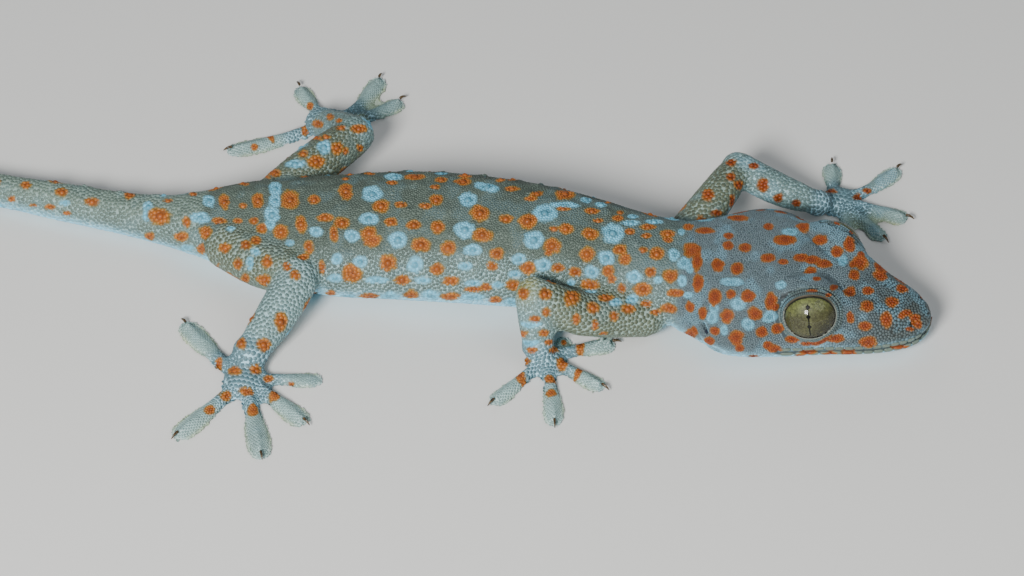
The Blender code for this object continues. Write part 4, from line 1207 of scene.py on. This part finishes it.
def bareSkin(points):                             # where no scale of the spread coat grows
    bare = nearness(points, lidPlaces) < lids["bare"]["round scales"] * mm
    for side in eyes:
        distance, _, outside = eyeAngles(points, side)
        bare |= (distance < lids["bare"]["distance"] * mm) & (outside < lids["bare"]["outside"])
    for distance in nearMouth(points):
        bare |= distance < mouth["bare"] * mm
    for name, place, way in headHoles:
        bare |= pitShare(points, place, way, *pits[name]["bare"]) < 1
    return bare


def spreadScales():
    space = fields[:, 0] * mm
    a, b, c = (skinPoints[skinTriangles[:, k]] for k in range(3))
    load = np.linalg.norm(np.cross(b - a, c - a), axis=1) / 2 / (space[skinTriangles].mean(1)) ** 2
    count = int(load.sum() * packing["cell"] * packing["crowd"])
    faces = dice.choice(len(skinTriangles), count, p=load / load.sum())
    first, second = dice.random(count), dice.random(count)
    flip = first + second > 1
    first[flip], second[flip] = 1 - first[flip], 1 - second[flip]
    points = a[faces] + first[:, None] * (b - a)[faces]
    points += second[:, None] * (c - a)[faces]
    kept = ~bareSkin(points)
    points, corner = points[kept], skinTriangles[faces[kept], 0]
    bumps, bumpSizes = castTubercles()
    rows, rowGaps = castFeet()
    fixed = len(bumps) + len(rows)
    ways = np.vstack((np.zeros((fixed, 3)), skinNormals[corner]))
    bumpGaps = 0.5 * (tubercles["space"] * bumpSizes + tubercles["margin"]) * mm * packing["bump gap"]
    gaps = np.concatenate((bumpGaps, rowGaps * packing["row gap"], space[corner] * packing["gap"]))
    points = np.vstack((bumps, rows, points))
    near = pointTree(points.tolist())
    alive = np.ones(len(points), dtype=bool)
    chosen = []
    for number in range(len(points)):
        if alive[number]:
            chosen.append(number)
            for _, other, _ in near.find_range(points[number], gaps[number]):
                if other >= fixed and (number < fixed or ways[number] @ ways[other] > 0):
                    alive[other] = False
    return points[chosen], bumpSizes, rowGaps


def neighbours(points, count):
    rows = points.tolist()
    tree = pointTree(rows)
    return np.array([[n[1] for n in tree.find_n(place, count + 1)][1:] for place in rows])


def easeScales(points, bumpSizes, rowGaps):
    fixed = len(bumpSizes) + len(rowGaps)
    for turn in range(packing["rounds"] + 1):
        points, way, values = onSkin(points, (skinNormals, fields))
        way = unit(way)
        space = values[:, 0] * mm
        space[:len(bumpSizes)] = tubercles["space"] * mm * bumpSizes
        space[len(bumpSizes):fixed] = rowGaps
        other = neighbours(points, packing["neighbours"])
        away = points[:, None, :] - points[other]
        distance = np.maximum(np.linalg.norm(away, axis=2), 1e-7)
        facing = np.einsum("ij,ikj->ik", way, way[other]) > packing["facing"]
        if turn == packing["rounds"]:
            return points, way, values, space, other, distance, facing
        target = 0.5 * (space[:, None] + space[other]) * packing["press"]
        push = np.where(facing, np.maximum(target - distance, 0), 0) / distance
        move = np.einsum("ij,ijk->ik", push, away) * packing["move"]
        move -= way * rowDots(move, way)[:, None]
        size = np.linalg.norm(move, axis=1, keepdims=True)
        move *= np.minimum(1, packing["limit"] * space[:, None] / np.maximum(size, 1e-9))
        move[:fixed] = 0
        points = points + move


lidPlaces, lidLies, lidLong, lidWide, lidRise, lidBright = castLids()
lidPlaces, lidWays = onSkin(lidPlaces, (skinNormals,))
roots, bumpSizes, rowGaps = spreadScales()
bumpCount = len(bumpSizes)
print("scales thrown:", len(roots), "with", bumpCount, "tubercles and", len(rowGaps), "in rows")
roots, ways, values, space, other, distance, facing = easeScales(roots, bumpSizes, rowGaps)
print("scales eased")


# an unwrap of the skin's own shape, where each scale has its own small patch

def makeUnwrap():
    plain = copyMesh("unwrap", skin)
    applyModifier(plain, "DECIMATE", ratio=0.05)
    enterEdit(plain)
    bpy.ops.uv.smart_project(angle_limit=math.radians(66), island_margin=0.002)
    leaveEdit()
    mesh = plain.data
    tree, triangles = surfaceTree(mesh)
    corners = readPoints(mesh)
    loops = readValues(mesh.loop_triangles, "loops", 3, np.int32)
    flat = readValues(mesh.uv_layers.active.data, "uv", 2)[loops]
    bpy.data.objects.remove(plain)
    return tree, triangles, corners, flat


def patchPlaces(points):
    tree, triangles, corners, flat = unwrap
    found = [tree.find_nearest(p) for p in points.tolist()]
    face = np.array([f[2] for f in found])
    shares = cornerShares(np.array([f[0] for f in found]), *(corners[triangles[face, k]] for k in range(3)))
    return np.einsum("ij,ijk->ik", shares, flat[face])


unwrap = makeUnwrap()
print("skin unwrapped")


# scale meshes: each is a low dome on its own cell between its neighbours, painted at each corner

def makeHide(name, gloss, grain, depth):          # scales and skin read their colour from the mesh
    material, tree, shader = newMaterial(name)
    place = addPlace(tree)
    fine = addNoise(tree, place, grain, 3.0)
    addTone(tree, shader, addRange(tree, fine, 0.84, 1.14))
    tree.links.new(addRange(tree, addNoise(tree, place, grain * 0.35, 2.0), gloss - 0.08, gloss + 0.10),
                   shader.inputs["Roughness"])
    addBump(tree, shader, fine, 0.35, depth)
    shader.inputs["Specular IOR Level"].default_value = 0.42
    return material


scaleHorn = makeHide("scale horn", 0.46, 5200.0, 0.03 * mm)
bareHide = makeHide("bare skin", 0.62, 3600.0, 0.05 * mm)
scaleForm = {                                     # rings: shares of reach and rise, and of the scale's colour
    "rings": ((1.03, -0.45, 0.0), (0.89, 0.62, 0.95)), "patch": 0.0015, "lowest": 0.02, "most faces": 190000,
    "cell": (0.25, 0.68), "overlap": 0.20, "tip": 0.12,
    "outer": {"lift": 0.75, "seam behind": 0.0, "shade ahead": 0.8},
    "inner": {"lift": 0.42, "seam behind": 0.18, "shade ahead": 0.1},
}


def setColours(mesh, colours):
    layer = mesh.color_attributes.new("tone", "FLOAT_COLOR", "POINT")
    layer.data.foreach_set("color", np.hstack((np.clip(colours, 0, 1), np.ones((len(colours), 1)))).ravel())


def scalePiece(name, points, triangles, patches, colours):
    mesh = bpy.data.meshes.new(name)
    mesh.vertices.add(len(points))
    mesh.vertices.foreach_set("co", points.ravel())
    mesh.loops.add(len(triangles) * 3)
    mesh.loops.foreach_set("vertex_index", triangles.ravel().astype(np.int32))
    mesh.polygons.add(len(triangles))
    mesh.polygons.foreach_set("loop_start", np.arange(0, len(triangles) * 3, 3, dtype=np.int32))
    shadeSmooth(mesh)
    layer = mesh.uv_layers.new(name="OFBake")
    layer.data.foreach_set("uv", patches[triangles.ravel()].ravel())
    setColours(mesh, colours)
    mesh.update(calc_edges=True)
    mesh.materials.append(scaleHorn)
    piece = bpy.data.objects.new(name, mesh)
    bpy.context.collection.objects.link(piece)
    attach(piece, "root")


def lieFlat(ways, lies):                          # directions made to lie in the skin, and those across them
    lies = unit(lies - ways * rowDots(lies, ways)[:, None])
    return lies, np.cross(ways, lies)


def evenTurns(sides):
    return np.arange(sides) * 2 * math.pi / sides


def paintCorners(corners, tones, seams, bright):
    shape, rows = corners.shape, corners.shape[1]
    tone, seam = paintPoints(corners.reshape(-1, 3), np.repeat(tones, rows, 0), np.repeat(seams, rows, 0))
    return tone.reshape(shape) * bright[:, None, None], seam.reshape(shape)


def domeFaces(sides, rings):                      # bands between a dome's rings, closed by a fan to its tip
    ring = np.arange(sides)
    after = (ring + 1) % sides
    faces = []
    for start in range(0, sides * (rings - 1), sides):
        faces.append(np.stack((ring, after, ring + sides), 1) + start)
        faces.append(np.stack((after, after + sides, ring + sides), 1) + start)
    last = sides * (rings - 1)
    faces.append(np.stack((ring + last, after + last, np.full(sides, sides * rings)), 1))
    return np.vstack(faces)


def growScales(name, points, ways, lies, reach, rise, lap, tones, seams, bright, turns=None,
               rings=scaleForm["rings"]):
    # reach is how far each scale goes in each of its directions, and turns is where those directions are
    count, sides = reach.shape
    lies, across = lieFlat(ways, lies)
    if turns is None:
        turns = np.tile(evenTurns(sides), (count, 1))
    cosine, sine = np.cos(turns), np.sin(turns)
    flat = cosine[..., None] * lies[:, None] + sine[..., None] * across[:, None]
    back = np.maximum(cosine, 0) * lap[:, None]
    edged = step(lap, 0.3, 0.8)[:, None, None]
    behind, ahead = np.maximum(cosine, 0)[..., None] * edged, np.maximum(-cosine, 0)[..., None] * edged
    places = patchPlaces(points)[:, None]
    block, colours, patch = [], [], []
    for number, (share, height, own) in enumerate(rings):
        form = scaleForm["inner" if number else "outer"]
        ring = points[:, None] + flat * (reach * share * (1 + scaleForm["overlap"] * back))[..., None]
        ring += ways[:, None] * (rise[:, None] * (height + form["lift"] * back))[..., None]
        tone, seam = paintCorners(ring, tones, seams, bright)
        colour = blend(seam, tone, own)
        colour = blend(colour, seam, behind * form["seam behind"])
        colour = blend(colour, tone * 0.6, ahead * form["shade ahead"])
        block.append(ring)
        colours.append(colour)
        patch.append(places + np.stack((cosine, sine), 2) * scaleForm["patch"] * share)
    tip = (points + ways * rise[:, None] + lies * (reach.mean(1) * scaleForm["tip"] * lap)[:, None])[:, None]
    block = np.concatenate(block + [tip], 1)
    block[..., 2] = np.maximum(block[..., 2], scaleForm["lowest"] * mm)
    # each dome's tip is painted a little lighter, a small painted highlight
    colours = np.concatenate(colours + [paintCorners(tip, tones, seams, bright)[0] * 1.05], 1)
    patch = np.concatenate(patch + [places], 1)
    faces = domeFaces(sides, len(rings))
    start = np.arange(count)[:, None, None] * (sides * len(rings) + 1)
    limit = scaleForm["most faces"] // len(faces)
    for number, first in enumerate(range(0, count, limit)):
        part = slice(first, min(first + limit, count))
        label = name if count <= limit else f"{name}_{number + 1}"
        scalePiece(label, block[part].reshape(-1, 3), (faces + start[:part.stop - first]).reshape(-1, 3),
                   patch[part].reshape(-1, 2), colours[part].reshape(-1, 3))


def cellReach(sides):                             # half way to the neighbours, by the two scales' sizes
    lies, across = lieFlat(ways, values[:, 9:12])
    away = roots[other] - roots[:, None]
    angle = np.arctan2(np.einsum("ijk,ik->ij", away, across), np.einsum("ijk,ik->ij", away, lies))
    share = space[:, None] / (space[:, None] + space[other])
    half = np.where(facing, distance * share, 1.0)
    turns = angle[:, :1] + math.pi / sides + evenTurns(sides)
    slope = np.cos(turns[:, :, None] - angle[:, None, :])
    reach = np.where(slope > 0.2, half[:, None, :] / np.maximum(slope, 0.2), 1.0).min(2)
    least, most = scaleForm["cell"]
    return np.clip(reach, least * space[:, None], most * space[:, None]), turns


def vary(count, spread, low, high):               # random shares round 1
    return np.clip(dice.normal(1.0, spread, count), low, high)


def dressBody():
    bright = vary(len(roots), 0.10, 0.7, 1.3)
    reach, turns = cellReach(6)
    rise = values[:, 1] * mm * vary(len(roots), 0.12, 0.7, 1.3)
    rows = (roots, ways, values[:, 9:12], reach, rise, values[:, 2], values[:, 3:6], values[:, 6:9], bright)
    face = skinTriangles[[skinTree.find_nearest(p)[2] for p in roots.tolist()], 0]
    owners = np.argmax(weights[face], 1)
    body = np.arange(len(roots)) >= bumpCount
    groups = {"head": ("head", "snout"), "body": ("neck", "back"), "side": ("flank", "belly"),
              "tail": ("tail",), "limb": ("upper", "lower"), "foot": ("foot", "toe", "fringe")}
    for label, names in groups.items():
        mine = body & np.isin(owners, [column[n] for n in names])
        growScales("scales_" + label, *(row[mine] for row in rows), turns=turns[mine])
    # tubercles stand up as blunt cones of ten sides
    points, way, lies, _, _, _, tones, seams, bright = (row[:bumpCount] for row in rows)
    reach = np.full((bumpCount, 10), tubercles["space"] * 0.52 * mm) * bumpSizes[:, None]
    growScales("tubercles", points, way, lies, reach, tubercles["rise"] * mm * bumpSizes,
               np.full(bumpCount, 0.2), tones * 1.15, seams, bright, rings=tubercles["rings"])


dressBody()
print("body dressed")


# rings of small scales on the lids, and the plates along the lips

lips = {
    "upper": {"up": 0.70, "first": 57.2, "last": 82.9, "count": 15, "high": 0.52},
    "lower": {"up": -0.70, "first": 57.6, "last": 82.7, "count": 13, "high": 0.50},
}
lipValues = {
    "tone": (104, 116, 108), "seam": (72, 80, 76), "rise": 0.17, "fill": 0.97, "crowd": 0.86,
    "rings": ((1.0, -0.35, 0.0), (0.93, 0.55, 0.75), (0.80, 0.92, 1.0), (0.45, 1.0, 1.03)),
}


def plateReach(long, wide, sides):                # a rounded oblong, long the way it lies and wide across
    turn = evenTurns(sides)
    shape = (np.abs(np.cos(turn)) / long[:, None]) ** 4 + (np.abs(np.sin(turn)) / wide[:, None]) ** 4
    return shape ** -0.25


def dressLids():
    count = len(lidPlaces)
    tones, seams = (np.tile(tint(*lids[k]), (count, 1)) for k in ("tone", "seam"))
    growScales("lid_scales", lidPlaces, unit(lidWays), lidLies, plateReach(lidLong * mm, lidWide * mm, 8),
               lidRise * mm, np.full(count, 0.1), tones, seams, lidBright * vary(count, 0.10, 0.75, 1.25),
               rings=lids["scale rings"])


def lipPlates():                                  # middle, way, half length and half height of each plate
    plates = []
    for lip in lips.values():
        ends = []
        for side in (-1, 1):
            line = snap(skinTree, headRow(lip["first"], lip["last"], 240, lip["up"], side))
            run = np.concatenate(([0], np.cumsum(np.linalg.norm(np.diff(line, axis=0), axis=1))))
            cuts = np.linspace(0, 1, lip["count"] + 1) ** lipValues["crowd"] * run[-1]
            for first, last in zip(cuts[:-1], cuts[1:]):
                here = (first + last) / 2
                place, before, after = (np.array([np.interp(v, run, line[:, k]) for k in range(3)])
                                        for v in (here, first, last))
                plates.append((place, unit(after - before), (last - first) / 2 * lipValues["fill"],
                               lip["high"] * mm * (0.86 + 0.14 * here / run[-1])))
            ends.append(line[-1])
        across = ends[1] - ends[0]                # one plate at the tip of the snout joins the two sides
        plates.append(((ends[0] + ends[1]) / 2, unit(across), np.linalg.norm(across) / 2 * lipValues["fill"],
                       lip["high"] * mm * 1.1))
    return [np.array(rows) for rows in zip(*plates)]


def dressLips():
    places, lies, long, high = lipPlates()
    count = len(places)
    points, normal = onSkin(places, (skinNormals,))
    tones, seams = (np.tile(tint(*lipValues[k]), (count, 1)) for k in ("tone", "seam"))
    growScales("lip_plates", points, unit(normal), lies, plateReach(long, high, 16),
               np.full(count, lipValues["rise"] * mm), np.zeros(count), tones, seams,
               vary(count, 0.07, 0.8, 1.2), rings=lipValues["rings"])


dressLids()
dressLips()
print("lids and lips dressed")


# the skin's own colours, painted shade in its folds, lids, ears, nostrils and mouth, and its finish

# fold shade, inside, pit and mouth set the painted shade in the lids' folds, inside the lids, in the ears and
# nostrils, and along the mouth
bareValues = {"shade": 0.92, "fold shade": 0.75, "margin": (3.6, 2.2), "inside": (1.3, 0.1), "pit": (1.1, 0.75),
              "mouth": 0.3}


def finishSkin():
    _, seams = paintPoints(skinPoints, fields[:, 3:6], fields[:, 6:9])
    seams = seams * bareValues["shade"]
    for side in eyes:                             # painted shade in the lids' folds and inside the lids, the ears and the nostrils
        distance, way, outside = eyeAngles(skinPoints, side)
        close = distance < eyeValues["near"] * mm
        seams *= 1 - (bareValues["fold shade"] * lidFolds(outside, way, side) * close)[:, None]
        margin = blend(lids["margin"], lids["upper margin"], step(way @ eyes[side][3], 0.1, 0.6))
        seams = blend(seams, margin, close * step(outside, *bareValues["margin"]))
        seams = blend(seams, lids["inside"], close * step(outside, *bareValues["inside"]))
    for name, place, way in headHoles:
        share = pitShare(skinPoints, place, way, *pits[name]["dark"])
        seams = blend(seams, pits[name]["colour"], step(share, *bareValues["pit"]))
    # painted shade along the mouth's crease
    for distance in nearMouth(skinPoints):
        seams *= (1 - mouth["dark"] * np.exp(-(distance / (bareValues["mouth"] * mm)) ** 2))[:, None]
    setColours(skin.data, seams)
    skin.data.materials.append(bareHide)
    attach(skin, "root")
    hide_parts(*flesh)


finishSkin()
print("skin finished")


# eyes: a domed iris with its slit pupil inside a clear cornea

iris = {"radius": 5.68, "middle": 5.25, "flat to": 46.0, "segments": 240, "rings": 150}
# lit top and low are painted light and painted shade on the iris; rim is the lids' painted shade at its edge
irisColours = {
    "middle": tint(88, 88, 56, 1.1), "top": tint(130, 138, 86, 1.15), "low": tint(48, 48, 33, 1.1),
    "vein": tint(60, 58, 36, 1.1), "fleck": tint(122, 122, 82, 1.1), "rim": tint(16, 14, 8),
}
pupil = {"low": -3.5, "high": 3.3, "half": 0.11, "lobe": 0.43, "lobes": (2.75, 0.85, -1.35),
         "lobe length": 0.30, "taper": 0.35, "proud": 0.04, "thick": 0.09, "steps": (6, 90)}
cornea = {"segments": 96, "rings": 64, "bulge": 0.06, "spread": 30.0}


def irisReach(angle):                             # the iris is a ball, a little flatter in front
    return iris["middle"] + (iris["radius"] - iris["middle"]) * step(angle, 0, iris["flat to"])


def irisPaint():
    material, tree, shader = newMaterial("iris")
    place = addPlace(tree)
    fine = addNoise(tree, place, 6500.0, 4.0)
    mottled = addRange(tree, addNoise(tree, place, 2700.0, 3.0), 0.56, 1.28)
    product = tree.nodes.new("ShaderNodeMath")
    product.operation = "MULTIPLY"
    tree.links.new(addRange(tree, fine, 0.72, 1.25), product.inputs[0])
    tree.links.new(mottled, product.inputs[1])
    addTone(tree, shader, product.outputs["Value"])
    tree.links.new(addRange(tree, fine, 0.42, 0.62), shader.inputs["Roughness"])
    addBump(tree, shader, fine, 0.3, 0.02 * mm)
    return material


def pupilPaint():
    material, tree, shader = newMaterial("pupil")
    fine = addNoise(tree, addPlace(tree), 5000.0, 2.0)
    shader.inputs["Base Color"].default_value = (0.004, 0.004, 0.004, 1)
    shader.inputs["Specular IOR Level"].default_value = 0.1
    tree.links.new(addRange(tree, fine, 0.30, 0.45), shader.inputs["Roughness"])
    addBump(tree, shader, fine, 0.2, 0.01 * mm)
    return material


def corneaPaint():
    material, tree, shader = newMaterial("cornea")
    film = addNoise(tree, addPlace(tree), 420.0, 2.0)
    shader.inputs["Base Color"].default_value = (0.012, 0.014, 0.012, 1)
    shader.inputs["Alpha"].default_value = 0.24
    shader.inputs["IOR"].default_value = 1.5
    shader.inputs["Specular IOR Level"].default_value = 1.0
    tree.links.new(addRange(tree, film, 0.05, 0.09), shader.inputs["Roughness"])
    addBump(tree, shader, film, 0.02, 0.01 * mm)
    return material


def paintIris(points, side):
    way = unit(points)
    rest = np.maximum(np.hypot(way[:, 0], way[:, 1]), 1e-9)
    ahead, up = -side * way[:, 0], way[:, 1]
    inner = lidOpening(ahead / rest, up / rest) - degreesFrom(way[:, 2])
    colour = np.tile(irisColours["middle"], (len(points), 1))
    # painted light on the upper iris and painted shade on its lower front
    colour = blend(colour, irisColours["top"], step(up - 0.15 * ahead, 0.05, 0.62))
    colour = blend(colour, irisColours["low"], step(0.75 * ahead - up, 0.15, 0.95))
    veins = np.abs(cloud(points, 0.70 * mm, 21)) * 0.5 + np.abs(cloud(points, 0.40 * mm, 23)) * 0.5
    colour = blend(colour, irisColours["vein"], 0.6 * step(veins, 0.26, 0.06))
    flecks = clouds(points, ((0.30, 27, 1.0), (0.8, 28, 0.4)))
    colour = blend(colour, irisColours["fleck"], 0.5 * step(flecks, 0.25, 0.8))
    colour *= (1 + 0.20 * cloud(points, 1.1 * mm, 25))[:, None]
    besideSlit = np.exp(-((np.abs(points[:, 0]) / mm - 0.36) / 0.14) ** 2)
    colour = blend(colour, irisColours["top"], 0.28 * besideSlit * step(inner, 6, 20))
    depth = 1.0 + 2.8 * step(up, -0.1, 0.6)       # the lids' painted shade on the iris's edge is deepest under the upper lid
    return blend(colour, irisColours["rim"], step(inner / depth, 1.0, 0.25))


def finishEyePiece(name, side, material):         # from the eye's own directions to its place in the head
    piece = bpy.context.object
    label = "right" if side < 0 else "left"
    piece.name = piece.data.name = name + "_" + label
    centre, axis, across, lift = eyes[side]
    writePoints(piece.data, centre + readPoints(piece.data) @ np.stack((across, lift, axis)))
    piece.data.materials.append(material)
    shadeSmooth(piece.data)
    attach(piece, "root")
    if name == "cornea":
        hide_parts("eye_" + label)


def makeIris(side, material):
    bpy.ops.mesh.primitive_uv_sphere_add(segments=iris["segments"], ring_count=iris["rings"],
                                         radius=iris["radius"] * mm, location=(0, 0, 0))
    ball = bpy.context.object
    way = unit(readPoints(ball.data))
    points = way * irisReach(degreesFrom(way[:, 2]))[:, None] * mm
    writePoints(ball.data, points)
    setColours(ball.data, paintIris(points, side))
    finishEyePiece("iris", side, material)


def makePupil(side, material):                    # a slit with a few wider lobes, bent onto the iris
    columns, rows = pupil["steps"]
    bpy.ops.mesh.primitive_grid_add(x_subdivisions=columns, y_subdivisions=rows, size=1.0, location=(0, 0, 0))
    slit = bpy.context.object
    points = readPoints(slit.data)
    low, high, radius = pupil["low"], pupil["high"], iris["radius"]
    up = low + (points[:, 1] + 0.5) * (high - low)
    half = pupil["half"] * np.ones(len(up))
    for lobe in pupil["lobes"]:
        half += (pupil["lobe"] - pupil["half"]) * np.exp(-((up - lobe) / pupil["lobe length"]) ** 4)
    ends = np.clip((up - low) / pupil["taper"], 0, 1) * np.clip((high - up) / pupil["taper"], 0, 1)
    half *= np.sqrt(ends) + 0.02
    aside = points[:, 0] * 2 * half
    rest = np.hypot(aside, up) / radius
    way = np.stack((aside / radius, up / radius, np.sqrt(1 - rest ** 2)), 1)
    reach = irisReach(np.degrees(np.arcsin(rest))) + pupil["proud"]
    writePoints(slit.data, way * reach[:, None] * mm)
    applyModifier(slit, "SOLIDIFY", thickness=pupil["thick"] * mm, offset=-1.0)
    finishEyePiece("pupil", side, material)


def makeCornea(side, material):                   # stands out a little in front
    bpy.ops.mesh.primitive_uv_sphere_add(segments=cornea["segments"], ring_count=cornea["rings"],
                                         radius=eyeValues["radius"] * mm, location=(0, 0, 0))
    clear = bpy.context.object.data
    points = readPoints(clear)
    way = unit(points)
    bulge = cornea["bulge"] * mm * np.exp(-(degreesFrom(way[:, 2]) / cornea["spread"]) ** 2)
    writePoints(clear, points + way * bulge[:, None])
    finishEyePiece("cornea", side, material)


irisLook, pupilLook, corneaLook = irisPaint(), pupilPaint(), corneaPaint()
for side in eyes:
    makeIris(side, irisLook)
    makePupil(side, pupilLook)
    makeCornea(side, corneaLook)
print("eyes made")


# claws: the CAD's claws rounded off, in dark horn

horn = {"colours": ((tint(34, 28, 22), 0.35), (tint(96, 80, 58), 0.72)), "grain": 2600.0, "rounds": 2}


def makeHorn():
    material, tree, shader = newMaterial("claw horn")
    grain = addNoise(tree, addPlace(tree), horn["grain"], 4.0)
    ramp = tree.nodes.new("ShaderNodeValToRGB")
    for element, (colour, position) in zip(ramp.color_ramp.elements, horn["colours"]):
        element.color = (*colour, 1)
        element.position = position
    tree.links.new(grain, ramp.inputs["Fac"])
    tree.links.new(ramp.outputs["Color"], shader.inputs["Base Color"])
    tree.links.new(addRange(tree, grain, 0.22, 0.36), shader.inputs["Roughness"])
    addBump(tree, shader, grain, 0.4, 0.02 * mm)
    return material


def makeClaws(material):
    for name in sorted(n for n in nodes if n.startswith("claw_")):
        claw = copyMesh(name + "_horn", nodes[name])
        claw.data.materials.clear()
        enterEdit(claw)
        bpy.ops.mesh.remove_doubles(threshold=skinValues["merge"] * mm)
        bpy.ops.mesh.normals_make_consistent(inside=False)
        leaveEdit()
        applyModifier(claw, "SUBSURF", levels=horn["rounds"], render_levels=horn["rounds"])
        shadeSmooth(claw.data)
        claw.data.materials.append(material)
        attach(claw, "root")
        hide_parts(name)


makeClaws(makeHorn())
print("claws made")
